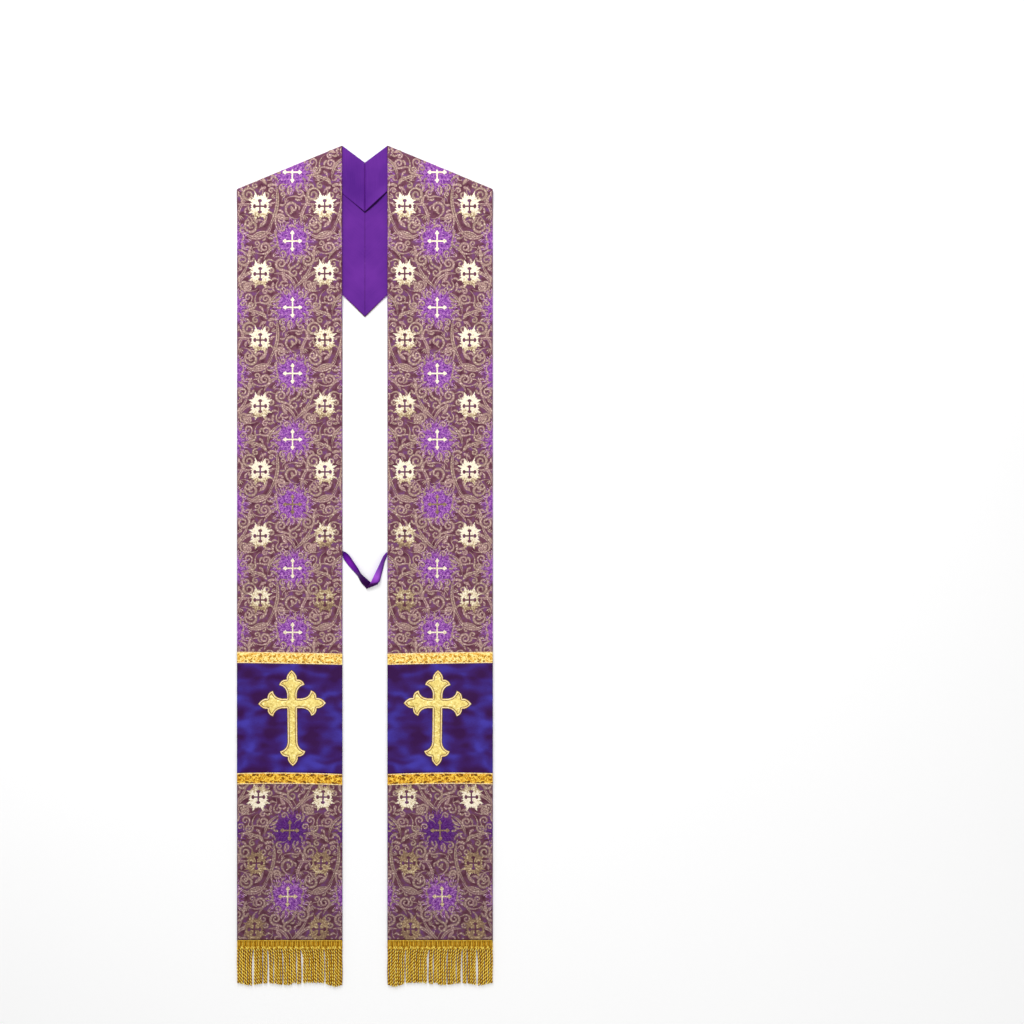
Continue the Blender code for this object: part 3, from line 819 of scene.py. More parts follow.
LEAVES = [  # x, y, heading, length, bend, hand, lobes, width
    (10, 33, 100, 18, 60, 1, 4, 3.6), (12, 32, 30, 16, -60, -1, 4, 3.4), (9, 30, 190, 15, 60, 1, 3, 3.2),
    (50, 0, -40, 15, -120, -1, 3, 3.4), (-2, -32, 20, 22, 60, 1, 4, 3.6), (26, -34, -120, 18, 70, 1, 4, 3.4),
    (46, 18, 120, 16, -70, -1, 4, 3.2), (20, 60, 10, 18, 60, 1, 4, 3.4), (-32, 66, 60, 16, 60, 1, 3, 3.2),
    (44, 92, 150, 20, -60, -1, 4, 3.4), (60, 124, 80, 18, -70, -1, 4, 3.4), (20, 92, 250, 16, 60, 1, 3, 3.0),
    (82, 104, 20, 18, 70, 1, 4, 3.4), (-16, 132, 120, 20, -70, -1, 4, 3.6), (26, 148, 60, 16, 60, 1, 3, 3.2),
    (76, 2, 80, 18, 60, 1, 4, 3.4), (86, 50, 200, 16, 70, 1, 3, 3.0),
]
BUDS = [(18, 14, 20, 8), (-34, -12, 200, 8), (40, 6, 60, 7), (70, -14, 300, 8), (-8, 40, 150, 8),
        (40, 110, 200, 8),
        (68, 96, 80, 8), (-30, 112, 120, 8), (20, 134, 30, 7), (90, 142, 300, 8), (-28, 30, 110, 7),
        (60, -40, 60, 8)]
BURST_CLEAR = 21.0
MEDAL_CLEAR = 13.0
MEDALLION_IN = BURST_IN - PITCH_IN / 2
MEDALLION_UP = 1170.0 % PITCH


def stem(x, y, heading, length, bend, width, tone):
    """A long leaf as two strokes that part in its middle and meet at both ends."""
    rib = bent_line(x, y, heading, length, bend, max(9, round(length / 2.2)))
    along = np.gradient(rib, axis=0)
    out = np.stack([-along[:, 1], along[:, 0]], -1) / np.linalg.norm(along, axis=1, keepdims=True)
    apart = out * (width * 0.30 * np.sin(math.pi * np.linspace(0, 1, len(rib))) ** 0.6)[:, None]
    thick = width * 0.40 * taper(len(rib), 0.35, 0.12, 0.5)
    return [stroke(rib + apart, thick, 0.36, tone), stroke(rib - apart, thick * 0.85, 0.32, tone + 0.15)]


parts = []
for i, row in enumerate(SCROLLS):
    parts += volute(*row, 0.25 + 0.5 * ((i * 5) % 7) / 7)
for i, row in enumerate(STEMS):
    parts += stem(*row, 0.2 + 0.6 * ((i * 3) % 5) / 5)
for i, row in enumerate(LEAVES):
    parts += acanthus(*row, 0.2 + 0.6 * ((i * 3) % 7) / 7)
for i, row in enumerate(BUDS):
    parts += sprig(*row, 0.3 + 0.5 * (i % 3) / 3)
repeat = gather(parts)


def lattice_distance(place, x, y):
    """Distance to the nearest of the points that lie a pitch apart from (x, y)."""
    pitch = np.array([PITCH_IN, PITCH])
    return np.linalg.norm((place - np.array([x, y]) + pitch / 2) % pitch - pitch / 2, axis=1)


clear_of_burst = lattice_distance(repeat["place"], PITCH_IN / 2, PITCH / 2) > BURST_CLEAR
clear_of_medal = lattice_distance(repeat["place"], 0, 0) > MEDAL_CLEAR
repeat = kept(repeat, clear_of_burst & clear_of_medal)
print("one repeat of scrollwork has", len(repeat["faces"]), "faces")

# %% [markdown]
# ## Filling the gaps
#
# A designer fills the ground last, so that no hole is left larger than the leaf beside it. The loop below does
# the same. It looks for the emptiest place of the repeat, puts a small scroll or a leaf there, as large as the
# room allows, and looks again. The rule gives the same figure each time.

# %% Small scrolls and leaves in the emptiest places
FILL_COUNT = 64
SMALLEST_ROOM = 2.5


def room_at(spots, parts):
    """Distance from each spot to the nearest crest, with the repeat wrapped round at its edges."""
    size = np.array([PITCH_IN, 2 * PITCH])
    crests = parts["place"][parts["edge"] == 0]
    nearest = np.full(len(spots), 99.0)
    for chunk in np.array_split(crests, max(1, len(crests) // 300)):
        gap = np.abs((spots[:, None] - chunk[None] + size / 2) % size - size / 2)
        nearest = np.minimum(nearest, (gap ** 2).sum(-1).min(axis=1))
    return np.sqrt(nearest) - 1.2


def fillers(parts):
    across, up = np.meshgrid(np.arange(0, PITCH_IN, 2.0), np.arange(0, 2 * PITCH, 2.0))
    spots = np.column_stack([across.ravel(), up.ravel()])
    room = room_at(spots, parts)
    room = np.minimum(room, lattice_distance(spots, PITCH_IN / 2, PITCH / 2) - BURST_CLEAR + 3)
    room = np.minimum(room, lattice_distance(spots, 0, 0) - MEDAL_CLEAR)
    laid = []
    for k in range(FILL_COUNT):
        best = room.argmax()
        size = room[best]
        if size < SMALLEST_ROOM:
            break
        x, y = spots[best]
        heading, tone = 137.5 * k, 0.2 + 0.6 * ((k * 0.37) % 1)
        hand = 1 if k % 2 else -1
        if size > 5.2 and k % 2:
            new = volute(x, y, size * 0.85, heading, hand, 1.2, size * 1.6, 70, 2.9, tone)
        else:
            back = np.radians(heading)
            new = acanthus(x - size * np.cos(back), y - size * np.sin(back), heading, size * 2.3, 75 * hand,
                           hand,
                           3 if size > 4 else 2, 2.9, tone)
        laid += new
        room = np.minimum(room, room_at(spots, gather(new)))
    return laid


fill = gather(fillers(repeat))
repeat = gather([repeat, fill])
print("with the gaps filled it has", len(repeat["faces"]), "faces")

# %% [markdown]
# ## Laying the repeat along the strip
#
# The cloth was cut from a wide bolt, so the repeat runs on past every edge. Here it is copied over the strip and
# cut off at the edges: thin strokes simply end there, and a broad motif has its points drawn back to the edge.
# The stretch under the orphrey is left out, because the band hides it.

# %% Weave a figure into one half of the strip
HIDDEN_UP = (262, 448)
EDGE_MARGIN = 0.55 * MM
BEYOND_MITRE = 1560  # no part of a strip lies further up than this
WIDEST_MOTIF = 45
SHINE_ROWS = 16


def trimmed(parts, whole=False):
    """Drops what lies off the strip. What straddles its edges goes too if whole, or else is drawn back to them."""
    place = parts["place"] * MM
    end = strip_end(np.clip(place[:, 0], 0, WIDTH))
    inside = (place[:, 0] > 0) & (place[:, 0] < WIDTH) & (place[:, 1] > 0) & (place[:, 1] < end)
    inside &= ~((parts["place"][:, 1] > HIDDEN_UP[0]) & (parts["place"][:, 1] < HIDDEN_UP[1]))
    faces = parts["faces"][(np.all if whole else np.any)(inside[parts["faces"]], axis=1)]
    used, flat = np.unique(faces, return_inverse=True)
    left = {k: parts[k][used] for k in ("place", "height", "edge", "tone")}
    left["faces"] = flat.reshape(faces.shape)
    place = left["place"] * MM
    inward = np.clip(place[:, 0], EDGE_MARGIN, WIDTH - EDGE_MARGIN)
    up = np.clip(place[:, 1], EDGE_MARGIN, strip_end(inward) - MITRE_SLANT * EDGE_MARGIN)
    left["place"] = np.stack([inward, up], -1) / MM
    return left


def drifted(place):
    """Places moved outwards near the hem, where the grain runs off, and up where the cloth was drawn tighter."""
    up = place[:, 1]
    rise = sum(most * np.clip((up - start) / (end - start), 0, 1) for start, end, most in RISES)
    return place + np.stack([-DRIFT * np.maximum(0, DRIFT_FROM - up), rise], -1)


def copies(parts, x, y, step_y, tone_of=None):
    """The parts at every place of the lattice that could touch the strip. tone_of gives a copy's tones from its
    column, its row and the tones it has."""
    rows = range(int(-WIDEST_MOTIF // step_y) - 1, int((BEYOND_MITRE + WIDEST_MOTIF) // step_y) + 1)
    columns = range(-2, int((WIDTH / MM + WIDEST_MOTIF) // PITCH_IN) + 2)
    laid = []
    for j in rows:
        for i in columns:
            moved = dict(parts)
            moved["place"] = drifted(parts["place"] + np.array([x + i * PITCH_IN, y + j * step_y]))
            if tone_of:
                moved["tone"] = tone_of(i, min(max(j, 0), SHINE_ROWS - 1), parts["tone"])
            low, high = moved["place"].min(0), moved["place"].max(0)
            if high[0] > 0 and low[0] < WIDTH / MM and high[1] > 0 and low[1] < BEYOND_MITRE:
                laid.append(moved)
    return gather(laid)


def stroke_mesh(name, points, parts, side, material, smooth=True):
    """A piece made of strokes at their points in space, with their edge and tone numbers."""
    faces = parts["faces"] if side > 0 else parts["faces"][:, ::-1]
    return cloth_object(name, points, faces.tolist(), parts["place"] * MM, material, smooth,
                        edge=parts["edge"],
                        tone=parts["tone"])


def woven(name, side_name, parts, material, smooth=True):
    """A figure woven into the brocade of one half."""
    inward, up = parts["place"][:, 0] * MM, parts["place"][:, 1] * MM
    depth = face_depth(inward, up) + roll_drop(edge_distance(inward, up), BROCADE_ROLL) - parts["height"] * MM
    points = strip_place(SIDES[side_name], inward, up, depth)
    return settle(stroke_mesh(name, points, parts, SIDES[side_name], material, smooth), "brocade")


# %% [markdown]
# ## The figuring weft
#
# The scrolls are woven in a dull taupe weft with a little metal in it. Seen close, each stroke has a dark line of
# painted shade along its edges, an even taupe body and painted rosy highlights along its crest. The stroke's edge
# number drives that ramp, its tone shifts the whole stroke between olive and rose, and a fine noise breaks it up
# into grain and painted glints.

# %% Taupe figuring weft
def figuring_weft():
    """Dull taupe yarn with a little metal: matt, flecked with painted rosy and cream glints, with painted shade along
    its edges.
    """
    made, tree, shader = cloth_material("taupe figuring weft", 0.5, Metallic=0.1, Specular_IOR_Level=0.3)
    place = cloth_mm(tree)
    edge = add(tree, "Attribute", {"attribute_name": "edge"})["Fac"]
    tone = add(tree, "Attribute", {"attribute_name": "tone"})["Fac"]
    grain = speckle(tree, place, 0.42, 4.0)
    # The edge number paints shade along each stroke's edges; the grain is partly the yarn's own fleck and partly
    # painted glints at the pale end of the ramps.
    rim = add(tree, "Math", {"operation": "POWER"}, i0=edge, i1=2.5)["Value"]
    edge_shade_and_glints = add(tree, "Mix", {"data_type": "FLOAT"}, i0=0.42, i2=rim, i3=grain)[0]
    olive = add(tree, "ValToRGB",
                stops=[(0.03, "#F0E0C2"), (0.13, "#B0927E"), (0.32, "#8C7064"), (0.56, "#6A5048"),
                                         (0.82, "#3E1A30")], Fac=edge_shade_and_glints)["Color"]
    rose = add(tree, "ValToRGB",
               stops=[(0.03, "#F6DCD8"), (0.13, "#C09896"), (0.32, "#967074"), (0.56, "#724E56"),
                                        (0.82, "#3E1A30")], Fac=edge_shade_and_glints)["Color"]
    cloud = add(tree, "TexNoise", Vector=place, Scale=0.05, Detail=2.0)["Fac"]
    side = add(tree, "Math", {"operation": "ADD", "use_clamp": True}, i0=tone, i1=add(
        tree, "Math", {"operation": "SUBTRACT"}, i0=cloud, i1=0.5)["Value"])["Value"]
    colour = add(tree, "Mix", {"data_type": "RGBA"}, i0=side, i6=olive, i7=rose)[2]
    dress(tree, shader, toward_hem(tree, place, colour), grain, 0.4)
    return made


WEFT = figuring_weft()
scrolls_flat = trimmed(copies(repeat, MEDALLION_IN, MEDALLION_UP + PITCH, 2 * PITCH), whole=True)
scrolls = {name: woven(f"brocade_{name}_scrolls", name, scrolls_flat, WEFT) for name in SIDES}
print("scrollwork on each half:", len(scrolls_flat["faces"]), "faces")

# %% [markdown]
# ## Violet floats
#
# Round each burst the violet warp is brushed up into floats that point away from the centre. They are short
# tapered strokes too, laid round the burst by a loop, with the golden angle so that no two rings line up.

# %% Violet floats round each burst
FLOAT_COUNT = 420
FLOATS_FROM, FLOATS_TO = 4, 33  # millimetres from the burst's centre
GOLDEN_ANGLE = 137.508


def float_shine(i, j, tone):
    """The floats are painted far darker, as shade, in the row that tips away from the lamp."""
    return tone * (0.22 if j == DULL_ROW else 1)


def violet_floats():
    parts = []
    for k in range(FLOAT_COUNT):
        angle = k * GOLDEN_ANGLE
        inner = FLOATS_FROM + (FLOATS_TO - FLOATS_FROM) * ((k * 0.37) % 1) ** 0.8
        length = 2.4 + 4.2 * ((k * 0.61) % 1)
        at = inner * np.array([math.cos(math.radians(angle)), math.sin(math.radians(angle))])
        line = bent_line(*at, angle + 38 * math.sin(k * 1.7), length, 0, 2)
        parts.append(stroke(line, [0.2, 0.5, 0.15], 0.40,
                            ((k * 0.413) % 1) * (0.5 + 0.5 * inner / FLOATS_TO)))
    return gather(parts)


def violet_warp():
    """Loose rayon floats: silky, from deep violet at their feet to pale lilac where they stand up to the light."""
    made, tree, shader = cloth_material("violet warp floats", 0.45, Sheen_Weight=0.1, Specular_IOR_Level=0.3)
    tone = add(tree, "Attribute", {"attribute_name": "tone"})["Fac"]
    ramp = add(tree, "ValToRGB",
               stops=[(0.0, "#420E62"), (0.24, "#823AA0"), (0.52, "#B676BA"), (1.0, "#F6D6DE")], Fac=tone)
    dress(tree, shader, ramp["Color"])
    return made


VIOLET = violet_warp()
floats_flat = trimmed(copies(violet_floats(), BURST_IN, BURST_UP, PITCH, float_shine), whole=True)
floats = {name: woven(f"brocade_{name}_floats", name, floats_flat, VIOLET) for name in SIDES}
print("violet floats on each half:", len(floats_flat["faces"]), "faces")

# %% [markdown]
# ## Medallions and little crosses
#
# The pale motifs are brocaded with a flat gold-film weft, which is why some shine cream and others look bronze:
# the film mirrors the lamp or it doesn't. Each motif is an outline filled by a 2D curve, one quarter of it
# listed and the rest mirrored. Its tone says how much of it catches the light, from a table of the rows where
# the cloth lies dull.

# %% Outlines of the motifs
MEDAL_QUARTER = [(0, 14.8), (2.2, 17.6), (3.4, 15.0), (4.6, 17.0), (6.2, 19.6), (8.8, 23.0), (8.2, 18.6),
                 (9.4, 15.2),
                 (9.4, 12.8), (12.2, 13.8), (11.2, 10.8), (14.0, 10.4), (19.4, 10.6), (15.2, 7.8),
                 (12.4, 5.6), (15.8, 3.8),
                 (12.8, 1.9), (14.4, 0)]
MEDAL_CROSS_QUARTER = [(1.35, 1.35), (1.25, 6.6), (2.8, 7.0), (3.4, 8.6), (2.8, 10.2), (1.3, 10.9), (0, 11.3)]
LITTLE_CROSS_QUARTER = [(1.25, 1.25), (1.2, 10.0), (2.6, 10.8), (3.7, 12.2), (2.5, 13.4), (1.7, 15.0),
                        (0, 16.8)]


def finely_spaced(outline, spacing):
    """The same outline with points no further apart than spacing."""
    made = []
    for start, end in zip(outline, np.roll(outline, -1, axis=0)):
        count = max(1, math.ceil(math.dist(start, end) / spacing))
        made += [start + (end - start) * k / count for k in range(count)]
    return np.array(made)


def ragged(outline, spacing, depth):
    """The outline with the uneven steps that float ends leave along a woven edge."""
    points = finely_spaced(np.array(outline), spacing)
    along = np.roll(points, -1, axis=0) - np.roll(points, 1, axis=0)
    out = np.stack([-along[:, 1], along[:, 0]], -1) / np.linalg.norm(along, axis=1, keepdims=True)
    k = np.arange(len(points))
    return points + out * (depth * np.sin(2.4 * k + 1.7 * np.sin(0.9 * k)))[:, None]


def four_mirrored(quarter):
    """The whole outline from its points between the top and the right."""
    top = quarter[::-1] if quarter[0][0] > quarter[-1][0] else quarter
    right = list(top)
    lower = [(x, -y) for x, y in right[::-1]]
    half = right + lower[1 if lower[0] == right[-1] else 0:]
    other = [(-x, y) for x, y in half[::-1]]
    return half + other[1:-1]


def four_armed(quarter):
    """A cross outline from one arm's half, turned to the four sides."""
    outline = []
    for k in range(4):
        angle = -math.pi / 2 * k
        arm = [(-x, y) for x, y in quarter] + [(x, y) for x, y in quarter[-2::-1]]
        outline += [(x * math.cos(angle) - y * math.sin(angle), x * math.sin(angle) + y * math.cos(angle))
                    for x, y in arm[:-1]]
    return outline


# %% Fill the outlines
def filled(outlines, height):
    """A raised flat shape inside outlines given in millimetres; a second outline is a hole."""
    curve = bpy.data.curves.new("outline", "CURVE")
    curve.dimensions = "2D"
    curve.fill_mode = "BOTH"
    curve.extrude = 0.5
    for outline in outlines:
        spline = curve.splines.new("POLY")
        spline.points.add(len(outline) - 1)
        spline.use_cyclic_u = True
        for point, (x, y) in zip(spline.points, outline):
            point.co = (x, y, 0, 1)
    drawn = in_scene("outline", curve)
    mesh = bpy.data.meshes.new_from_object(drawn.evaluated_get(bpy.context.evaluated_depsgraph_get()))
    bpy.data.objects.remove(drawn)
    shape = bmesh.new()
    shape.from_mesh(mesh)
    bmesh.ops.remove_doubles(shape, verts=shape.verts, dist=0.001)
    bmesh.ops.delete(shape, geom=[f for f in shape.faces if f.normal.z < -0.5], context="FACES")
    bmesh.ops.triangulate(shape, faces=shape.faces)
    bmesh.ops.recalc_face_normals(shape, faces=shape.faces)
    points = np.array([v.co for v in shape.verts])
    faces = np.array([[v.index for v in f.verts] for f in shape.faces])
    if sum(f.normal.z for f in shape.faces) < 0:
        faces = faces[:, ::-1]
    shape.free()
    top = points[:, 2] > 0
    return {"place": points[:, :2], "height": np.where(top, height, -0.06), "edge": np.where(top, 0.0, 1.0),
            "tone": np.zeros(len(points)), "faces": faces}


medal = filled([ragged(four_mirrored(MEDAL_QUARTER), 1.0, 0.42), four_armed(MEDAL_CROSS_QUARTER)], 0.55)
little = filled([np.array(four_armed(LITTLE_CROSS_QUARTER)) * (0.94, 1)], 0.60)
medal["tone"] = medal["place"][:, 1] / 15
print("a medallion has", len(medal["faces"]), "faces and a little cross", len(little["faces"]))

# %% Shine of each motif, by its row up from the hem
CROSS_SHINE = [0.55, 0.05, 0, 0, 0.9, 0.85, 0.12, 0.95, 0.95, 1, 1, 1, 0.9, 0.9, 0.7, 0.7]
MEDAL_SHINE = {"outer": [0.15, 0.30, 0.95, 0, 0, 0.75, 0.95, 1, 1, 1, 1, 1, 0.5, 0.5, 0.5, 0.5],
               "inner": [0.20, 0.30, 0.80, 0, 0, 0.42, 0.72, 1, 0.8, 0.8, 1, 1, 0.8, 0.8, 0.5, 0.5]}
TIPPED_ROWS = (1, 2)


def medal_shine(i, j, height):
    """A medallion is duller towards its foot, or towards its head in a row that tips the other way."""
    down = height if j in TIPPED_ROWS else -height
    return np.maximum(MEDAL_SHINE["outer" if i < 1 else "inner"][j] - 0.45 * ease(down - 0.1), 0.14)


def cross_shine(i, j, tone):
    return tone + CROSS_SHINE[j]


def gold_film():
    """Brocaded gold film: cream where it mirrors the light, bronze where it doesn't."""
    made, tree, shader = cloth_material("brocaded gold film", 0.42, Metallic=0.2)
    place = cloth_mm(tree)
    tone = add(tree, "Attribute", {"attribute_name": "tone"})["Fac"]
    patch = speckle(tree, place, 0.07, 3.0)
    threads = speckle(tree, place, 0.38, 4.0)
    shine = add(tree, "Math", {"operation": "MULTIPLY_ADD"}, i0=patch, i1=0.30, i2=add(
        tree, "Math", {"operation": "MULTIPLY_ADD"}, i0=tone, i1=0.88, i2=-0.50)["Value"])["Value"]
    mixed = add(tree, "Math", {"operation": "MULTIPLY_ADD"}, i0=threads, i1=0.72, i2=shine)["Value"]
    colour = add(tree, "ValToRGB", stops=[(0.05, "#745640"), (0.30, "#987A58"), (0.55, "#CDB890"),
                                          (0.82, "#F2E7CF")], Fac=mixed)
    dress(tree, shader, colour["Color"], threads, 0.5, 0.3)
    return made


FILM = gold_film()
medals_flat = trimmed(copies(medal, MEDALLION_IN, MEDALLION_UP, PITCH, medal_shine))
crosses_flat = trimmed(copies(little, BURST_IN, BURST_UP, PITCH, cross_shine))
motifs_flat = gather([medals_flat, crosses_flat])
motifs = {name: woven(f"brocade_{name}_motifs", name, motifs_flat, FILM, smooth=False) for name in SIDES}
print("gold motifs on each half:", len(motifs_flat["faces"]), "faces")

# %% [markdown]
# ## The centre back seam
#
# The two strips meet in a mitred seam down the yoke. A sewer presses its turnings open inside, between brocade
# and lining, and they keep light from coming through the seam. One flat strip, narrowed to the yoke's point,
# stands for both.

# %% Turnings behind the seam
TURNING = 8 * MM


def seam_turnings():
    y = np.linspace(NOTCH_Y - 2 * MM, YOKE_POINT_Y + 3 * MM, 40)[:, None]
    half = np.minimum(TURNING, (y - YOKE_POINT_Y - 1.5 * MM) * 0.85)
    x = half * np.linspace(-1, 1, 5)
    points = np.stack([x, y + 0 * x, np.full_like(x, 1.1 * MM)], -1)
    made = sheet_object("yoke_seam_turnings", points, points[..., :2], GROUND, thickness=0.3 * MM, offset=0)
    return settle(made, "brocade")


turnings = seam_turnings()
print("the turnings behind the seam are", round(2 * TURNING / MM), "mm wide")

# %% [markdown]
# ## Orphrey bands
#
# An orphrey is a band of other cloth that crosses a vestment. Here it is a violet-blue satin, cut 17.3 cm high
# and sewn across each panel, with its raw edges hidden under gold braid. It is wider than it is tight, so it
# ripples softly from side to side. Each panel has its own short table of ripples, read by the function that made
# the creases, because the two bands were pinned by hand and don't match.

# %% Where the braids and the band lie
BRAID_HEIGHT = 18 * MM
ORPHREY_HEIGHT = 173 * MM
BRAIDS = {"lower": {"above_hem": 248.5, "middle": 1.2, "inner": -1.5},
          "upper": {"above_hem": 442.5, "middle": -0.4, "inner": -3.0}}
GAP = 0.3 * MM


def braid_up(which, inward, share):
    """The place up from the hem, at a share of the braid's height; its line bows and drops as it was sewn."""
    row = BRAIDS[which]
    across = inward / WIDTH
    bow = row["middle"] * 4 * across * (1 - across) + row["inner"] * across ** 2
    return (row["above_hem"] + bow) * MM + share * BRAID_HEIGHT


def on_panel(side, inward, up, z):
    """A place on the level part of a panel, at height z."""
    return strip_place(side, inward, up, PANEL_STACK - z)


# %% Orphrey satin with its ripples
RIPPLES = {
    "left": [
        {"in_1": 60, "up_1": 425, "in_2": 168, "up_2": 417, "rise": 0.40, "width": 7.0},
        {"in_1": 0, "up_1": 404, "in_2": 88, "up_2": 400, "rise": 0.34, "width": 8.0},
        {"in_1": 86, "up_1": 386, "in_2": 168, "up_2": 374, "rise": 0.45, "width": 8.0},
        {"in_1": 0, "up_1": 376, "in_2": 66, "up_2": 369, "rise": 0.30, "width": 8.0},
        {"in_1": 104, "up_1": 350, "in_2": 168, "up_2": 343, "rise": 0.45, "width": 9.0},
        {"in_1": 0, "up_1": 334, "in_2": 100, "up_2": 328, "rise": 0.38, "width": 8.0},
        {"in_1": 70, "up_1": 300, "in_2": 168, "up_2": 309, "rise": 0.42, "width": 9.0},
        {"in_1": 0, "up_1": 290, "in_2": 80, "up_2": 283, "rise": 0.30, "width": 6.0},
    ],
    "right": [
        {"in_1": 0, "up_1": 421, "in_2": 104, "up_2": 425, "rise": 0.40, "width": 8.0},
        {"in_1": 92, "up_1": 407, "in_2": 168, "up_2": 399, "rise": 0.32, "width": 7.0},
        {"in_1": 0, "up_1": 392, "in_2": 60, "up_2": 386, "rise": 0.32, "width": 7.0},
        {"in_1": 30, "up_1": 366, "in_2": 168, "up_2": 371, "rise": 0.42, "width": 9.0},
        {"in_1": 0, "up_1": 345, "in_2": 90, "up_2": 341, "rise": 0.45, "width": 8.0},
        {"in_1": 100, "up_1": 333, "in_2": 168, "up_2": 327, "rise": 0.35, "width": 7.0},
        {"in_1": 0, "up_1": 312, "in_2": 70, "up_2": 306, "rise": 0.36, "width": 9.0},
        {"in_1": 60, "up_1": 287, "in_2": 168, "up_2": 291, "rise": 0.34, "width": 8.0},
    ],
}
ORPHREY_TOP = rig.box("orphrey_right")[1].z


def duchess_satin():
    """A heavy satin with a blue weft behind a plum warp. Its soft folds are painted in: a broad noise turns it from
    plum in painted shade to blue in painted highlight, and it is painted a little darker near the top.
    """
    made, tree, shader = cloth_material("violet blue duchess satin", 0.4, Specular_IOR_Level=0.08)
    place = cloth_mm(tree)
    wide = add(tree, "Mapping", Vector=place, Scale=(0.62, 1.0, 1.0))["Vector"]
    cloud = add(tree, "TexNoise", Vector=wide, Scale=0.045, Detail=1.0, Roughness=0.5, Distortion=0.3)["Fac"]
    fine = add(tree, "TexNoise", Vector=wide, Scale=0.5, Detail=2.0)["Fac"]
    mixed = add(tree, "Mix", {"data_type": "FLOAT"}, i0=0.10, i2=cloud, i3=fine)[0]
    # Painted shade: the band is darkened towards its top edge.
    up = add(tree, "SeparateXYZ", Vector=place)["Y"]
    top = add(tree, "MapRange", Value=up, i1=340.0, i2=440.0, i3=0.0, i4=-0.05)["Result"]
    fold_light_and_shade = add(tree, "Math", {"operation": "ADD"}, i0=mixed, i1=top)["Value"]
    ramp = add(tree, "ValToRGB",
               stops=[(0.34, "#340A48"), (0.46, "#391764"), (0.56, "#3B2680"), (0.68, "#4236A0")], Fac=fold_light_and_shade)
    dress(tree, shader, ramp["Color"], fine)
    return made


ORPHREY_SATIN = duchess_satin()


def orphrey_shell(side_name):
    side = SIDES[side_name]
    inward = edge_spaced(WIDTH, 3 * MM)[None, :]
    share = np.linspace(0, 1, 70)[:, None]
    low, high = braid_up("lower", inward, 1) + GAP, braid_up("upper", inward, 0) - GAP
    up = low + (high - low) * share
    across = np.broadcast_to(inward, up.shape)
    side_edge = np.minimum(across, WIDTH - across)
    pucker = 0.25 * MM * np.sin(up / (4.1 * MM) + side) * np.exp(-side_edge / (4 * MM))
    rise = crease_rise(across, up, RIPPLES[side_name]) + pucker - roll_drop(side_edge, 0.6 * MM)
    made = sheet_object(f"orphrey_{side_name}_cloth",
                        on_panel(side, across, up, ORPHREY_TOP - 0.25 * MM + rise),
                        np.stack([across, up], axis=-1), ORPHREY_SATIN, flip=side > 0)
    return settle(made, "orphrey", f"orphrey_{side_name}")


orphreys = {name: orphrey_shell(name) for name in SIDES}
print("orphrey bands:", [len(o.data.polygons) for o in orphreys.values()], "faces")

# %% [markdown]
# ## Gold braid
#
# The braid is a woven trimming 18 mm wide: gold film wound on yellow silk, with a vine that winds along it and
# leaves gaps first above and then below, painted dark as shade. Its two borders are plain pale cord. A noise
# alone would look like gravel, so the vine, its leaves and the cords are strokes in the braid's own millimetres,
# carried to the panel by the line that the braid was sewn on. The upper braid faces the lamp more, so it is painted
# paler gold. Real film turns are 0.2 mm apart, and the painted glints are drawn at about 2 mm so that they show.

# %% Gold braid finishes
def gold_thread(name, roughness, per_mm, *stops):
    """Gold film on a silk core: each turn of the film is a painted glint, so the colour is broken up at thread size.
    A stroke's edges are painted darker as shade, and its tone lightens or darkens it; in a braid's gaps that darkening
    is painted shade.
    """
    made, tree, shader = cloth_material(name, roughness, Metallic=0.2, Specular_IOR_Level=0.15)
    place = cloth_mm(tree)
    edge = add(tree, "Attribute", {"attribute_name": "edge"})["Fac"]
    tone = add(tree, "Attribute", {"attribute_name": "tone"})["Fac"]
    glint = speckle(tree, place, per_mm, 5.0, 0.38, 0.62)
    lit = add(tree, "Math", {"operation": "MULTIPLY_ADD"}, i0=tone, i1=-0.9, i2=glint)["Value"]
    mixed = add(tree, "Math", {"operation": "MULTIPLY_ADD"}, i0=edge, i1=-0.22, i2=lit)["Value"]
    dress(tree, shader, add(tree, "ValToRGB", stops=stops, Fac=mixed)["Color"], glint, 0.5, 0.3)
    return made


# The lower braid has brown hollows in painted shade and an egg-yolk shine, the upper one is painted lighter, and the
# cords are palest.
BRAID_FINISH = {
    "upper": gold_thread("pale gold braid", 0.42, 0.20, (0.0, "#94681A"), (0.14, "#C48C28"),
                         (0.42, "#EEB23C"), (0.78, "#FFF09C")),
    "lower": gold_thread("deep gold braid", 0.42, 0.20, (0.0, "#6A3E02"), (0.16, "#986006"),
                         (0.46, "#D08E10"), (0.80, "#FFD450")),
}
CORD_FINISH = gold_thread("pale gold border cord", 0.4, 0.5, (0.0, "#D8A458"), (0.35, "#F6D28A"),
                          (0.75, "#FFEFC0"))

# %% Braid shells, vines and border cords
VINE_REPEAT = 23
# Each gap of the vine is a short stroke painted dark brown as shade: where it lies along, how far from the middle, its
# length and half-width.
GAPS = {"lower": {"top": [(-4.5, 5.0, 6.6, 1.9), (3.0, 4.0, 3.2, 0.9)],
                  "bottom": [(-4.0, 5.1, 6.0, 1.8), (3.0, 6.0, 5.0, 0.7)]},
        "upper": {"top": [(0, 2.0, 2.2, 0.7)],
                  "bottom": [(-5.0, 5.2, 4.2, 1.3), (1.0, 3.6, 2.6, 0.8), (4.0, 6.0, 3.6, 0.8)]}}
BRAID_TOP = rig.box("braid_upper_right")[1].z
HEIGHT_MM = BRAID_HEIGHT / MM


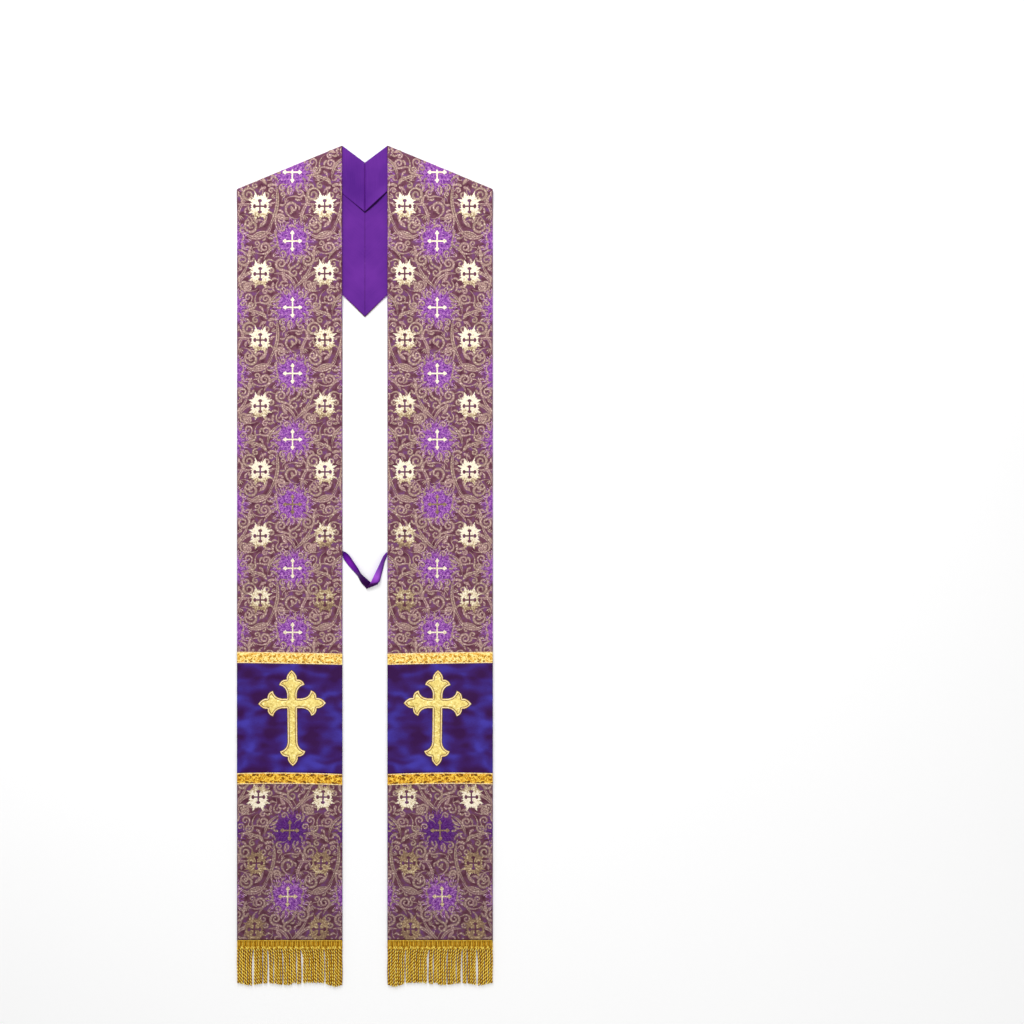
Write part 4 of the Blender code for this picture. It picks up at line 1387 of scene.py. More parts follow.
def vine_strokes(which):
    """Stem, leaves and the vine's gaps, painted dark as shade, as millimetres along and up the braid."""
    along = np.arange(-4, WIDTH / MM + 5, 1.3)
    stem = np.stack([along, HEIGHT_MM / 2 + 4.4 * np.sin(2 * math.pi * along / VINE_REPEAT)], -1)
    parts = [stroke(stem, 1.0, 0.38, -0.30)]
    for k in range(-1, 20):
        middle = (k + 0.5) * VINE_REPEAT / 2
        hand = 1 if k % 2 == 0 else -1
        foot = HEIGHT_MM / 2 - hand * 5.2
        for i, (lean, length,
                bend) in enumerate([(-62, 6.2, 40), (-24, 7.6, 18), (14, 8.2, -16), (52, 6.6, -34)]):
            leaf = bent_line(middle + 1.3 * i - 2.0, foot, hand * (90 - lean), length, hand * bend, 6)
            parts.append(stroke(leaf, 0.9 * taper(len(leaf), 0.5, 0.1, 0.5), 0.32, 0.45 * (i % 2) - 0.35))
        for lean, reach, length, half in GAPS[which]["top" if hand > 0 else "bottom"]:
            gap = bent_line(middle + lean, HEIGHT_MM / 2 + hand * reach, 12 * hand, length, 0, 4)
            parts.append(stroke(gap, half * taper(5, 0.5, 0.5, 0.5), 0.50, 0.72, sunk=0.42))
    return gather(parts)


def border_strokes():
    along = np.arange(0.4, WIDTH / MM - 0.3, 1.2)
    return gather([stroke(np.stack([along, np.full_like(along, y)], -1), 0.85, 0.45, 0.0)
                   for y in (0.95, HEIGHT_MM - 0.95)])


def on_braid(name, side_name, which, parts, material, inset):
    """A mesh of strokes in the braid's own millimetres, laid on the braid."""
    side = SIDES[side_name]
    inward = np.clip(parts["place"][:, 0], 0.35, WIDTH / MM - 0.35) * MM
    share = np.clip(parts["place"][:, 1], inset, HEIGHT_MM - inset) / HEIGHT_MM
    z = BRAID_TOP - 0.35 * MM + parts["height"] * MM
    points = on_panel(side, inward, braid_up(which, inward, share), z)
    made = stroke_mesh(name, points, parts, side, material)
    return settle(made, "braid")


def braid_shell(side_name, which):
    side = SIDES[side_name]
    inward = edge_spaced(WIDTH, 3 * MM)[None, :]
    share = np.array([0, 0.02, 0.06, 0.15, 0.3, 0.5, 0.7, 0.85, 0.94, 0.98, 1])[:, None]
    up = braid_up(which, inward, share)
    across = np.broadcast_to(inward, up.shape)
    near = np.minimum(np.minimum(across, WIDTH - across), np.minimum(share, 1 - share) * BRAID_HEIGHT)
    made = sheet_object(f"braid_{which}_{side_name}_tape",
                        on_panel(side, across, up, BRAID_TOP - 0.35 * MM - roll_drop(near, 0.8 * MM)),
                        np.stack([across, up], axis=-1), BRAID_FINISH[which], flip=side > 0)
    return settle(made, "braid", f"braid_{which}_{side_name}")


braids = {}
vine_flat, border_flat = {which: vine_strokes(which) for which in BRAIDS}, border_strokes()
for side_name in SIDES:
    for which in BRAIDS:
        braids[which, side_name] = [
            braid_shell(side_name, which),
            on_braid(f"braid_{which}_{side_name}_vine", side_name, which, vine_flat[which],
                     BRAID_FINISH[which], 1.9),
            on_braid(f"braid_{which}_{side_name}_cords", side_name, which, border_flat, CORD_FINISH, 0.05)]
print("each braid's vine has", len(vine_flat["lower"]["faces"]), "faces")

# %% [markdown]
# ## Applied crosses
#
# Each cross is an applique: gold lamé over felt, with a corded satin-stitch border that covers its raw edge. Its
# profile is drawn by insetting the outline again and again, each ring with its own height, which is how a cord
# and the groove inside it are made without a separate sweep. The outline comes from one arm's end, bowed from
# point to point, and turned to the four sides.

# %% Outline of the cross
CROSS_ARM_HALF = 7.6
CROSS_END = {"tip": (0, 0), "tip_bulge": (7.4, 9.4), "notch": (14.8, 8.0), "lobe_bulge": (14.6, 17.6),
             "lobe_point": (23.4, 20.2), "hollow": (26.0, 8.8), "arm": (38.0, 7.6)}
CROSS_ARMS = {"right": 54, "top": 53, "left": 54, "bottom": 100}
CROSS_CENTRE_UP = 378 * MM
CROSS_SHIFT = 4 * MM
CROSS_TILT = math.radians(0.75)


def bow(start, pull, end, steps=4):
    """Points after start on a curve that is pulled towards the middle point."""
    shares = [k / steps for k in range(1, steps + 1)]
    return [tuple((1 - t) ** 2 * a + 2 * t * (1 - t) * p + t * t * b for a, p, b in zip(start, pull, end))
            for t in shares]


def cross_outline():
    """The outline in millimetres round the crossing, against the clock."""
    end = CROSS_END
    half = [end["arm"]] + bow(end["arm"], end["hollow"], end["lobe_point"])
    half += bow(end["lobe_point"], end["lobe_bulge"], end["notch"]) + bow(end["notch"], end["tip_bulge"],
                                                                          end["tip"])
    outline = []
    for k, arm in enumerate(("right", "top", "left", "bottom")):
        reach = [(CROSS_ARMS[arm] - back, out) for back, out in half]
        line = [(CROSS_ARM_HALF, -CROSS_ARM_HALF)] + [(x, -y) for x, y in reach] + reach[-2::-1]
        turn = k * math.pi / 2
        outline += [(x * math.cos(turn) - y * math.sin(turn), x * math.sin(turn) + y * math.cos(turn)) for x,
                    y in line]
    return outline


print("the cross outline has", len(cross_outline()), "points")

# %% Cross finishes
def lame(name, roughness, *stops):
    """Crinkled lamé: tiny flat facets of gold film, each of which catches the light or misses it."""
    made, tree, shader = cloth_material(name, roughness, Metallic=0.2)
    place = cloth_mm(tree)
    facets = add(tree, "TexVoronoi", Vector=place, Scale=0.4)["Color"]
    facet = add(tree, "SeparateColor", Color=facets)["Red"]
    mixed = add(tree, "Mix", {"data_type": "FLOAT"}, i0=0.55, i2=facet, i3=speckle(tree, place, 0.16, 3.0))[0]
    dress(tree, shader, add(tree, "ValToRGB", stops=stops, Fac=mixed)["Color"], mixed, 0.6, 0.3)
    return made


# The field glitters in specks, the border cord is smoother and paler, the groove is dark gold for its couched line
# and for painted shade, and the couching thread is dull brown.
FIELD_LAME = lame("crinkled gold lame", 0.4, (0.10, "#C4A648"), (0.40, "#E4CA6C"), (0.65, "#F4E084"),
                  (0.92, "#FFF4B0"))
CROSS_CORD = lame("gold satin stitch over cord", 0.4, (0.10, "#F0C478"), (0.50, "#FFE09C"), (0.90, "#FFEEC4"))
GROOVE_LINE_AND_SHADE = lame("gold couching line", 0.5, (0.10, "#6A4A10"), (0.90, "#9A7426"))
COUCHING = lame("brown couching thread", 0.6, (0.25, "#3A200C"), (0.70, "#5A3A14"))

# %% Cross with its border cord and groove
CROSS_PROFILE = [(0, 0, 1), (0, 0.20, 1), (0.25, 0.95, 1), (0.75, 1.32, 1), (1.45, 1.42, 1), (2.05, 1.20, 1),
                 (2.45, 0.75, 2),
                 (3.15, 0.78, 2), (3.55, 1.08, 0), (4.60, 1.24, 0), (5.80, 1.30, 0)]
CROSS_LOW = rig.box("cross_right")[0].z


def inset_ring(outline, points, depth):
    """Moves points inwards until each lies depth inside the outline, or on the middle line where it is narrow."""
    run = np.roll(outline, -1, axis=0) - outline
    for _ in range(16):
        share = ((points[:, None] - outline) * run).sum(-1) / (run * run).sum(-1)
        away = points[:, None] - outline - run * np.clip(share, 0, 1)[..., None]
        distance = np.linalg.norm(away, axis=-1)
        nearest = distance.argmin(axis=1)
        pick = np.arange(len(points))
        found = distance[pick, nearest][:, None]
        points = points + 0.6 * away[pick, nearest] / np.maximum(found, 1e-6) * np.clip(depth - found, 0,
                                                                                        None)
    return points


def cross_shape(outline):
    """The applique in millimetres: rings of points down its profile, then a flat field."""
    ring = outline
    after = np.roll(outline, -1, axis=0) - np.roll(outline, 1, axis=0)
    inward = np.stack([-after[:, 1], after[:, 0]], -1) / np.linalg.norm(after, axis=1, keepdims=True)
    shape = bmesh.new()
    rows, last = [], 0
    for depth, height, _ in CROSS_PROFILE:
        if depth > last:
            ring = inset_ring(outline, ring + inward * 0.05 if last == 0 else ring, depth)
        last = depth
        rows.append([shape.verts.new((x, y, height)) for x, y in ring])
    for low, high, (_, _, finish) in zip(rows[:-1], rows[1:], CROSS_PROFILE[1:]):
        for k in range(len(low)):
            made = shape.faces.new((low[k - 1], low[k], high[k], high[k - 1]))
            made.material_index = finish
    shape.faces.new(rows[-1])
    bmesh.ops.remove_doubles(shape, verts=shape.verts, dist=0.12)
    bmesh.ops.triangulate(shape, faces=[f for f in shape.faces if len(f.verts) > 4])
    bmesh.ops.dissolve_degenerate(shape, edges=shape.edges, dist=0.02)
    cloth = shape.loops.layers.uv.new("cloth")
    for made in shape.faces:
        made.smooth = True
        for loop in made.loops:
            loop[cloth].uv = loop.vert.co.xy * MM
    return shape


def cross_piece(side_name):
    side = SIDES[side_name]
    outline = finely_spaced(np.array(cross_outline()), 1.6)
    shape = cross_shape(outline)
    middle = Matrix.Translation((side * ((NECK_X + OUTER_X) / 2 - CROSS_SHIFT), HEM_Y + CROSS_CENTRE_UP,
                                 CROSS_LOW))
    spin = Matrix.Rotation(-side * CROSS_TILT, 4, "Z")
    shape.transform(middle @ spin @ Matrix.Scale(MM, 4))
    mesh = bpy.data.meshes.new(f"cross_{side_name}_applique")
    shape.to_mesh(mesh)
    shape.free()
    for finish in (FIELD_LAME, CROSS_CORD, GROOVE_LINE_AND_SHADE):
        mesh.materials.append(finish)
    made = in_scene(mesh.name, mesh)
    line = stroke(outline, 0.85, 0.10, 0.5, sunk=-0.30, closed=True)
    flat = np.column_stack([line["place"], line["height"]]) * MM
    points = np.array([middle @ spin @ Vector(p) for p in flat])
    couching = stroke_mesh(f"cross_{side_name}_couching", points, line, 1, COUCHING)
    return settle(made, "gold_cloth", f"cross_{side_name}"), settle(couching, "gold_cloth")


crosses = {name: cross_piece(name) for name in SIDES}
print("a cross has", len(crosses["right"][0].data.polygons), "faces and stands",
      round((max(v.co.z for v in crosses["right"][0].data.vertices) - CROSS_LOW) / MM, 2), "mm off the band")

# %% [markdown]
# ## Bullion fringe
#
# Bullion is made by twisting a gimp until it doubles back on itself, so each strand is two plies wound round each
# other, with a rounded loop at its end. A striped texture on a plain rod would look flat from a step away, so
# both plies are swept tubes here, with a painted highlight on each crown and painted shade where they dive under,
# round a dark core tube that stands as painted shade in the space between them. The real twist is about 8 mm
# long, and it is drawn at 11 mm so that it shows. One function sweeps them all: it takes centre lines with radii
# and puts a small ring of points round each place. The heading is a flat tape with gimp laid up and down over
# it, and a bright cord along its top edge.

# %% Swept tubes
def swept(name, lines, sides, material, up_axis=False):
    """One mesh of closed tubes. Each line is its centres, its radii and a tone; the rings lie level unless up_axis."""
    turn = np.arange(sides) * 2 * math.pi / sides
    points, faces, places, tones, start = [], [], [], [], 0
    for centres, radii, tone in lines:
        count = len(centres)
        across = np.stack([np.cos(turn), np.zeros(sides), np.sin(turn)], -1)
        if up_axis:
            across = across[:, [1, 0, 2]]
        ring = centres[:, None, :] + radii[:, None, None] * across[None]
        points.append(ring.reshape(-1, 3))
        index = start + np.arange(count * sides).reshape(count, sides)
        after = np.roll(index, -1, axis=1)
        faces += np.stack([index[:-1], after[:-1], after[1:], index[1:]], -1).reshape(-1, 4).tolist()
        faces += [index[0, ::-1].tolist(), index[-1].tolist()]
        run = np.concatenate([[0], np.cumsum(np.linalg.norm(np.diff(centres, axis=0), axis=1))])
        places.append(np.stack(np.broadcast_arrays(turn[None] * radii.max(), run[:, None]), -1).reshape(-1,
                                                                                                        2))
        tones.append(np.repeat(np.broadcast_to(tone, count), sides))
        start += count * sides
    return cloth_object(name, np.concatenate(points), faces, np.concatenate(places), material,
                        tone=np.concatenate(tones))


# %% Bullion finish
def bullion():
    """Rayon gimp in old gold: its tone paints a soft highlight along each turn and brown shade in the hollows. The
    fine threads that cross each ply on the slant are 0.3 mm apart, and are drawn at 0.9 mm."""
    made, tree, shader = cloth_material("old gold rayon bullion", 0.5, Specular_IOR_Level=0.1)
    place = cloth_mm(tree)
    tone = add(tree, "Attribute", {"attribute_name": "tone"})["Fac"]
    threads = add(tree, "TexWave", {"bands_direction": "DIAGONAL"}, Vector=place, Scale=0.35,
                  Distortion=0.8)["Fac"]
    part = add(tree, "Mix", {"data_type": "FLOAT"}, i0=0.5, i2=threads, i3=speckle(tree, place, 0.2))[0]
    mixed = add(tree, "Mix", {"data_type": "FLOAT"}, i0=0.60, i2=part, i3=tone)[0]
    ramp = add(tree, "ValToRGB",
               stops=[(0.12, "#462A02"), (0.38, "#9A640A"), (0.60, "#D09A18"), (0.84, "#FFE264")], Fac=mixed)
    dress(tree, shader, ramp["Color"], threads, 0.5, 0.3)
    return made


BULLION = bullion()

# %% Strands of the fringe
STRANDS = 45
GIMP_COUNT = 62
TWIST_PITCH = 11.0 * MM
PLY_RADIUS = 1.0 * MM
PLY_OFFSET = 0.85 * MM
# The core is a dark tube laid behind the plies as painted shade between them.
SHADE_CORE_RADIUS = 1.6 * MM
SHADE_CORE_DROP = 0.55 * MM
SHADE_CORE_TONE = 0.2
HEADING_HEIGHT = 12 * MM
FRINGE_USUAL = 70 * MM
FRINGE_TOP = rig.box("fringe_right")[1].y
FRINGE_LOW_Z, FRINGE_HIGH_Z = (corner.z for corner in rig.box("fringe_right"))
STRAND_Z = (FRINGE_LOW_Z + FRINGE_HIGH_Z) / 2 + 0.15 * MM
FRINGE_ENDS = {"across": [0, 0.14, 0.20, 0.29, 0.41, 0.49, 0.53, 0.57, 0.63, 0.80, 0.85, 0.93, 1],
               "extra": [0, 4.5, 2.0, 0.5, 3.0, 4.0, -1.0, 2.5, 0, 0, 3.0, 7.0, 3.0]}
FRINGE_PARTINGS = {0.165: 3.0, 0.25: 1.2, 0.296: 2.6, 0.34: 1.0, 0.42: 1.3, 0.547: 1.3, 0.592: 2.8,
                   0.827: 1.5}


def strand_lines(side, i):
    """The two plies of one strand and the dark core of painted shade behind them, from inside the heading to the
    looped end.
    """
    x = NECK_X + (i + 0.5) * WIDTH / STRANDS
    share = (OUTER_X - x) / WIDTH
    passed = sum(width for place, width in FRINGE_PARTINGS.items() if place < share)
    stray = (sum(FRINGE_PARTINGS.values()) * share - passed) * MM
    length = FRINGE_USUAL + np.interp(share, FRINGE_ENDS["across"],
                                      FRINGE_ENDS["extra"]) * MM - HEADING_HEIGHT - GAP
    down = np.linspace(-1.5 * MM, length - PLY_RADIUS, 44)
    middle = x + stray * ease(0.15 + down / (0.4 * length)) + 0.3 * MM * np.sin(down / (8 * MM) + 2.4
                                                                                * i) * ease(down / (20 * MM))
    twist = 2 * math.pi * down / TWIST_PITCH + 0.9 * i + math.sin(2.3 * i)
    left = (length - down) / (2.6 * MM)
    loop = np.sqrt(np.clip(1 - (1 - np.clip(left, 0, 1)) ** 2, 0.02, 1))
    lines = []
    for ply in (0, math.pi):
        spread = PLY_OFFSET * np.minimum(1, 0.35 + loop)
        centres = np.stack([side * (middle + spread * np.cos(twist + ply)),
                            FRINGE_TOP - HEADING_HEIGHT - down,
                            STRAND_Z + 0.7 * spread * np.sin(twist + ply)], -1)
        # The ply's tone is a painted highlight where it comes up on top and painted shade where it dives under, with a
        # random share for each strand.
        crown = 0.5 + 0.5 * np.sin(twist + ply + 0.6)
        lines.append((centres, PLY_RADIUS * (0.30 + 0.70 * loop),
                      1.35 * crown + 0.5 * ((i * 0.618) % 1) - 0.46))
    # The dark core: painted shade behind the plies.
    low = np.full_like(down, STRAND_Z - SHADE_CORE_DROP)
    core = np.stack([side * middle, FRINGE_TOP - HEADING_HEIGHT - down, low], -1)[:-1:3]
    return lines + [(core, np.full(len(core), SHADE_CORE_RADIUS), SHADE_CORE_TONE)]


# %% Gimp, cord and tape of the heading
def gimp_lines(side, j):
    """One loop of gimp over the heading, a little higher or lower than the next."""
    x = NECK_X + (j + 0.5) * WIDTH / GIMP_COUNT
    rise = 0.35 * MM * math.sin(j * 0.79) + 0.2 * MM * math.sin(j * 2.9)
    down = np.linspace(-rise - 0.2 * MM, HEADING_HEIGHT + 0.8 * MM, 9)
    share = np.linspace(0, 1, 9)
    z = FRINGE_HIGH_Z - 1.0 * MM + 0.35 * MM * np.sin(share * math.pi) + 0.12 * MM * math.sin(j * 1.7)
    centres = np.stack(np.broadcast_arrays(side * x + 0.15 * MM * np.sin(share * 6 + j),
                                           FRINGE_TOP - 0.8 * MM - down, z), -1)
    radii = 1.18 * MM * np.sqrt(np.clip(np.sin(np.clip(share, 0.04, 0.96) * math.pi), 0, 1) ** 0.5)
    return [(centres, radii, 0.62 + 0.16 * math.sin(2.2 * j))]


def edge_cord(side):
    """The bright cord along the top of the heading."""
    x = np.linspace(NECK_X + 0.9 * MM, OUTER_X - 0.9 * MM, 60)
    centres = np.stack([side * x, np.full(60, FRINGE_TOP - 1.3 * MM), np.full(60, FRINGE_HIGH_Z - 0.35 * MM)],
                       -1)
    return [(centres, np.full(60, 0.70 * MM), 0.80 + 0.40 * np.sin(x / (0.9 * MM)))]


def loop_lines(side, i):
    """Where a strand leaves the heading, its gimp turns in two short bright loops."""
    x = NECK_X + (i + 0.5) * WIDTH / STRANDS
    share = np.linspace(0, 1, 7)
    lines = []
    for hand in (-1, 1):
        down = (-2.2 + 5.2 * share + (0.9 * hand + 0.6) * math.sin(1.9 * i)) * MM
        centres = np.stack([side * (x + hand * (0.3 + 1.3 * np.sin(math.pi * share)) * MM),
                            FRINGE_TOP - HEADING_HEIGHT - down,
                            STRAND_Z + (1.5 + 0.6 * np.sin(math.pi * share)) * MM], -1)
        lines.append((centres, 0.62 * MM * np.sqrt(np.sin(math.pi * np.clip(share, 0.06, 0.94))),
                      1.2 + 0.8 * math.sin(2.7 * i + hand)))
    return lines


def heading_tape(side_name):
    side = SIDES[side_name]
    inward = edge_spaced(WIDTH, 5 * MM)[None, :]
    down = np.linspace(0, HEADING_HEIGHT, 7)[:, None]
    across, y = np.broadcast_arrays(inward, FRINGE_TOP - down)
    points = np.stack([side * (OUTER_X - across), y, np.full(y.shape, FRINGE_LOW_Z + 0.6 * MM)], -1)
    cloth = np.stack([across, down + 0 * across], -1)
    made = sheet_object(f"fringe_{side_name}_tape", points, cloth, BULLION, flip=side < 0)
    return settle(made, "fringe")


def fringe_piece(side_name):
    side = SIDES[side_name]
    strands = [line for i in range(STRANDS) for line in strand_lines(side, i)]
    gimp = [line for j in range(GIMP_COUNT) for line in gimp_lines(side, j)]
    gimp += [line for i in range(STRANDS) for line in loop_lines(side, i)]
    hung = settle(swept(f"fringe_{side_name}_strands", strands, 6, BULLION), "fringe", f"fringe_{side_name}")
    bound = settle(swept(f"fringe_{side_name}_gimp", gimp, 6, BULLION), "fringe")
    corded = settle(swept(f"fringe_{side_name}_cord", edge_cord(side), 6, BULLION, up_axis=True), "fringe")
    return hung, bound, corded, heading_tape(side_name)


fringes = {name: fringe_piece(name) for name in SIDES}
print("fringe faces on each side:", [len(o.data.polygons) for o in fringes["right"]])

# %% [markdown]
# ## The ribbon
#
# A narrow satin ribbon is tacked to the inner edges of both panels, so that the stole can't slip off. It is a few
# millimetres too long, and so it hangs in a V with one twist at the bottom, where its back shows and it is
# painted near black as shade. A simulation would find its own twist, so the sections are listed, the same ones
# that the CAD solid was lofted through, and a smooth curve joins them.

# %% Ribbon through its sections
RIBBON_SECTIONS = [
    {"x": -35.7, "up": 618.0, "z": 1.2, "heading": 90, "tilt": 0, "width": 7.0},
    {"x": -32.2, "up": 614.6, "z": 2.9, "heading": 62, "tilt": 16, "width": 10.5},
    {"x": -28.2, "up": 610.1, "z": 4.0, "heading": 46, "tilt": 28, "width": 13},
    {"x": -21.8, "up": 601.2, "z": 4.6, "heading": 42, "tilt": 34, "width": 13},
    {"x": -14.2, "up": 591.5, "z": 5.4, "heading": 40, "tilt": 44, "width": 13},
    {"x": -8.5, "up": 583.3, "z": 6.0, "heading": 38, "tilt": 54, "width": 13},
    {"x": -0.8, "up": 573.5, "z": 4.2, "heading": 31, "tilt": 28, "width": 13},
    {"x": 5.5, "up": 567.2, "z": 1.6, "heading": 24, "tilt": 6, "width": 13},
    {"x": 9.4, "up": 565.0, "z": 1.7, "heading": 21, "tilt": 3, "width": 16.5},
    {"x": 11.4, "up": 564.6, "z": 3.4, "heading": 21, "tilt": 1, "width": 19.0},
    {"x": 12.4, "up": 567.0, "z": 5.3, "heading": 16, "tilt": 0, "width": 17.5},
    {"x": 16.0, "up": 571.3, "z": 6.0, "heading": 6, "tilt": -4, "width": 14.5},
    {"x": 18.4, "up": 575.8, "z": 6.4, "heading": -7, "tilt": -16, "width": 13},
    {"x": 21.1, "up": 583.0, "z": 6.2, "heading": -20, "tilt": -36, "width": 13},
    {"x": 25.4, "up": 594.4, "z": 6.2, "heading": -22, "tilt": -52, "width": 13},
    {"x": 30.2, "up": 608.0, "z": 5.4, "heading": -32, "tilt": -58, "width": 10.5},
    {"x": 33.5, "up": 614.5, "z": 2.7, "heading": -62, "tilt": -34, "width": 6.5},
    {"x": 35.7, "up": 618.0, "z": 1.2, "heading": -90, "tilt": 0, "width": 4.0},
]
RIBBON_STEPS = 5
RIBBON_WIDTH = 13 * MM


def ribbon_satin():
    """Satin that lies bright where it faces the lamp and near black where it turns away, by a ramp along it."""
    made, tree, shader = cloth_material("violet ribbon satin", 0.35, Specular_IOR_Level=0.1)
    place = add(tree, "SeparateXYZ", Vector=cloth_mm(tree))
    along = add(tree, "Math", {"operation": "DIVIDE"}, i0=place["Y"], i1=RIBBON_LENGTH)["Value"]
    turned = add(tree, "ValToRGB", stops=[
        (0.0, "#36005A"), (0.05, "#5A1090"), (0.14, "#8420B4"), (0.24, "#6A12A0"), (0.33, "#400060"),
        (0.44, "#2E0040"),
        (0.590, "#36004A"), (0.612, "#8A38B4"), (0.68, "#B058E0"), (0.80, "#8444B8"), (0.94, "#6E2E9E")],
        Fac=along)["Color"]
    shade = add(tree, "MapRange", Value=place["X"], i1=1.0, i2=6.0, i3=0.0, i4=0.85)["Result"]
    colour = add(tree, "Mix", {"data_type": "RGBA"}, i0=shade, i6=turned, i7=linear("#36045A"))[2]
    dress(tree, shader, colour)
    return made


RIBBON_LENGTH = 137.0
RIBBON_SATIN = ribbon_satin()


def smooth_rows(rows, steps):
    """Rows of numbers joined by a smooth curve, with steps rows for each of the first."""
    rows = np.asarray(rows, float)
    padded = np.concatenate([[2 * rows[0] - rows[1]], rows, [2 * rows[-1] - rows[-2]]])
    made = []
    for before, here, there, after in zip(padded[:-3], padded[1:-2], padded[2:-1], padded[3:]):
        for t in np.arange(steps) / steps:
            made.append(0.5 * (2 * here + (there - before) * t + (2 * before - 5 * here + 4 * there - after)
                               * t ** 2
                               + (3 * here - before - 3 * there + after) * t ** 3))
    return np.array(made + [rows[-1]])


def ribbon_piece():
    rows = smooth_rows([list(row.values()) for row in RIBBON_SECTIONS], RIBBON_STEPS)
    x, up, z, heading, tilt, width = rows.T
    heading, tilt = np.radians(heading), np.radians(tilt)
    middle = np.stack([x, up + HEM_Y / MM, z], -1)
    reach = np.stack([np.cos(heading) * np.cos(tilt), np.sin(heading) * np.cos(tilt), np.sin(tilt)], -1)
    across = np.linspace(-0.5, 0.5, 9)
    cup = 0.35 * (1 - (2 * across) ** 2)
    points = middle[:, None] + reach[:, None] * (across[None, :] * width[:, None])[..., None]
    points[..., 2] += cup[None]
    run = np.concatenate([[0], np.cumsum(np.linalg.norm(np.diff(middle, axis=0), axis=1))])
    cloth = np.stack(np.broadcast_arrays(across[None] * RIBBON_WIDTH, run[:, None] * MM), -1)
    made = sheet_object("ribbon_cloth", points * MM, cloth, RIBBON_SATIN, thickness=0.35 * MM, offset=0)
    return settle(made, "ribbon", "ribbon"), run[-1]


ribbon, ribbon_length = ribbon_piece()
print("the ribbon is", round(ribbon_length), "mm long")

# %% [markdown]
# ## Needlework under the yoke
#
# On the wearer's back the yoke bears a small cross in orange-gold satin stitch. It faces the table here. Satin
# stitch is a row of threads side by side, each from edge to edge of the bar, so each thread is one stroke across
# it. Real threads are 0.4 mm wide; they are drawn at 1.1 mm to show.

# %% Satin-stitch cross
NEEDLE_TOP, NEEDLE_FOOT, NEEDLE_BAR = 88, 173, 120
NEEDLE_SPAN, NEEDLE_WIDTH, NEEDLE_STEP = 54, 6.6, 1.1
# Embroidery silk lies parallel and glossy, so the cross reads as one warm orange gold.
NEEDLE_SILK = gold_thread("orange gold embroidery silk", 0.35, 0.5, (0.0, "#8A5010"), (0.35, "#C98A2E"),
                          (0.80, "#F0C070"))


def needle_width(share):
    """The bar's width along it: it flares a little at both ends."""
    return NEEDLE_WIDTH * (1 + 0.35 * np.abs(2 * share - 1) ** 4)


def needlework():
    parts = []
    for low, high, across in ((NEEDLE_TOP, NEEDLE_FOOT, False), (-NEEDLE_SPAN / 2, NEEDLE_SPAN / 2, True)):
        for place in np.arange(low + 0.6, high, NEEDLE_STEP):
            half = needle_width((place - low) / (high - low)) / 2
            ends = np.linspace(-half, half, 5)
            lean = 0.25 * ends
            line = [(place + l, -NEEDLE_BAR + e) if across else (e, -place + l) for e, l in zip(ends, lean)]
            parts.append(stroke(line, 0.62 * np.array([0.6, 1, 1, 1, 0.6]), 0.22, 0.3 * ((place * 0.31) % 1),
                                sunk=0.02))
    flat = gather(parts)
    x, y = flat["place"].T * MM
    z = FACE_LIFT - flat["height"] * MM
    made = stroke_mesh("yoke_needlework", np.stack([x, PEAK_Y + y, z], -1), flat, -1, NEEDLE_SILK)
    return settle(made, "gold_cloth")


embroidery = needlework()
print("the needlework has", len(embroidery.data.polygons), "faces")

# %% [markdown]
# ## The cut
#
# A cutter needs flat sizes, without turnings. Each strip is one cut from the hem over the shoulder to the mitre
# at the centre back, so its end slopes. The braids, the bands and the fringe's heading are straight cuts, and the
# cross is cut to its outline. The measures come from the same map and tables as the shapes, so they can't
# differ.

# %% Flat size of every cut piece
def strip_cut(inset):
    """The size and area of a strip's cut, smaller all round by an inset."""
    ends = np.array([inset, WIDTH - inset])
    lengths = strip_end(ends) - 2 * inset
    width = WIDTH - 2 * inset
    return {"flat": (width, lengths.max()), "area": width * lengths.mean()}


def outline_area(outline):
    """The area inside a closed outline in millimetres, in square metres."""
    x, y = np.array(outline).T
    return abs(np.sum(x * np.roll(y, -1) - y * np.roll(x, -1))) / 2 * MM ** 2


LEAST_SHARE = 0.301  # a sheet has to cover this much of its rectangle; the cross covers a little less
facing_width = NECK_X + FACING_HIDDEN
facing_height = FACING_CENTRE + NOTCH_DEPTH
cross_low, cross_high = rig.box("cross_right")
cross_size = (cross_high.x - cross_low.x, cross_high.y - cross_low.y)
cross_area = outline_area(cross_outline())
print("the cross's outline covers", round(cross_area / cross_size[0] / cross_size[1], 3), "of its rectangle")
cross_area = max(cross_area, LEAST_SHARE * cross_size[0] * cross_size[1])
for name in SIDES:
    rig.sheet(brocades[name], held="folded", rests_on=[linings[name]], **strip_cut(0),
             with_pieces=[scrolls[name], floats[name], motifs[name]] + ([embroidery, turnings]
                                                                        if name == "left" else []))
    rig.sheet(linings[name], held="folded", rests_on=["floor"], **strip_cut(LINING_INSET))
    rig.sheet(facings[name][0], flat=(facing_width, facing_height), area=facing_width * FACING_CENTRE,
             held="laid",
             rests_on=[linings[name]], with_pieces=[facings[name][1]])
    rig.sheet(orphreys[name], flat=(WIDTH, ORPHREY_HEIGHT), held="laid", rests_on=[brocades[name]])
    for which in BRAIDS:
        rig.sheet(braids[which, name][0], flat=(WIDTH, BRAID_HEIGHT), held="laid", rests_on=[orphreys[name]],
                 with_pieces=braids[which, name][1:])
    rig.sheet(crosses[name][0], flat=cross_size, area=cross_area, held="laid",
             rests_on=[orphreys[name]], with_pieces=[crosses[name][1]])
    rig.sheet(fringes[name][3], flat=(WIDTH, HEADING_HEIGHT), held="laid", rests_on=["floor"],
             with_pieces=fringes[name][:3])
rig.sheet(ribbon, flat=(RIBBON_WIDTH, ribbon_length * MM), held="folded", rests_on=["floor"])
print("one strip of brocade is cut", [round(v / MM) for v in strip_cut(0)["flat"]], "mm")


# %% [markdown]
# ## Floor, light and camera
#
# The stole lies on a pale floor under soft studio light, and the camera looks straight down on it, as the
# photograph does.

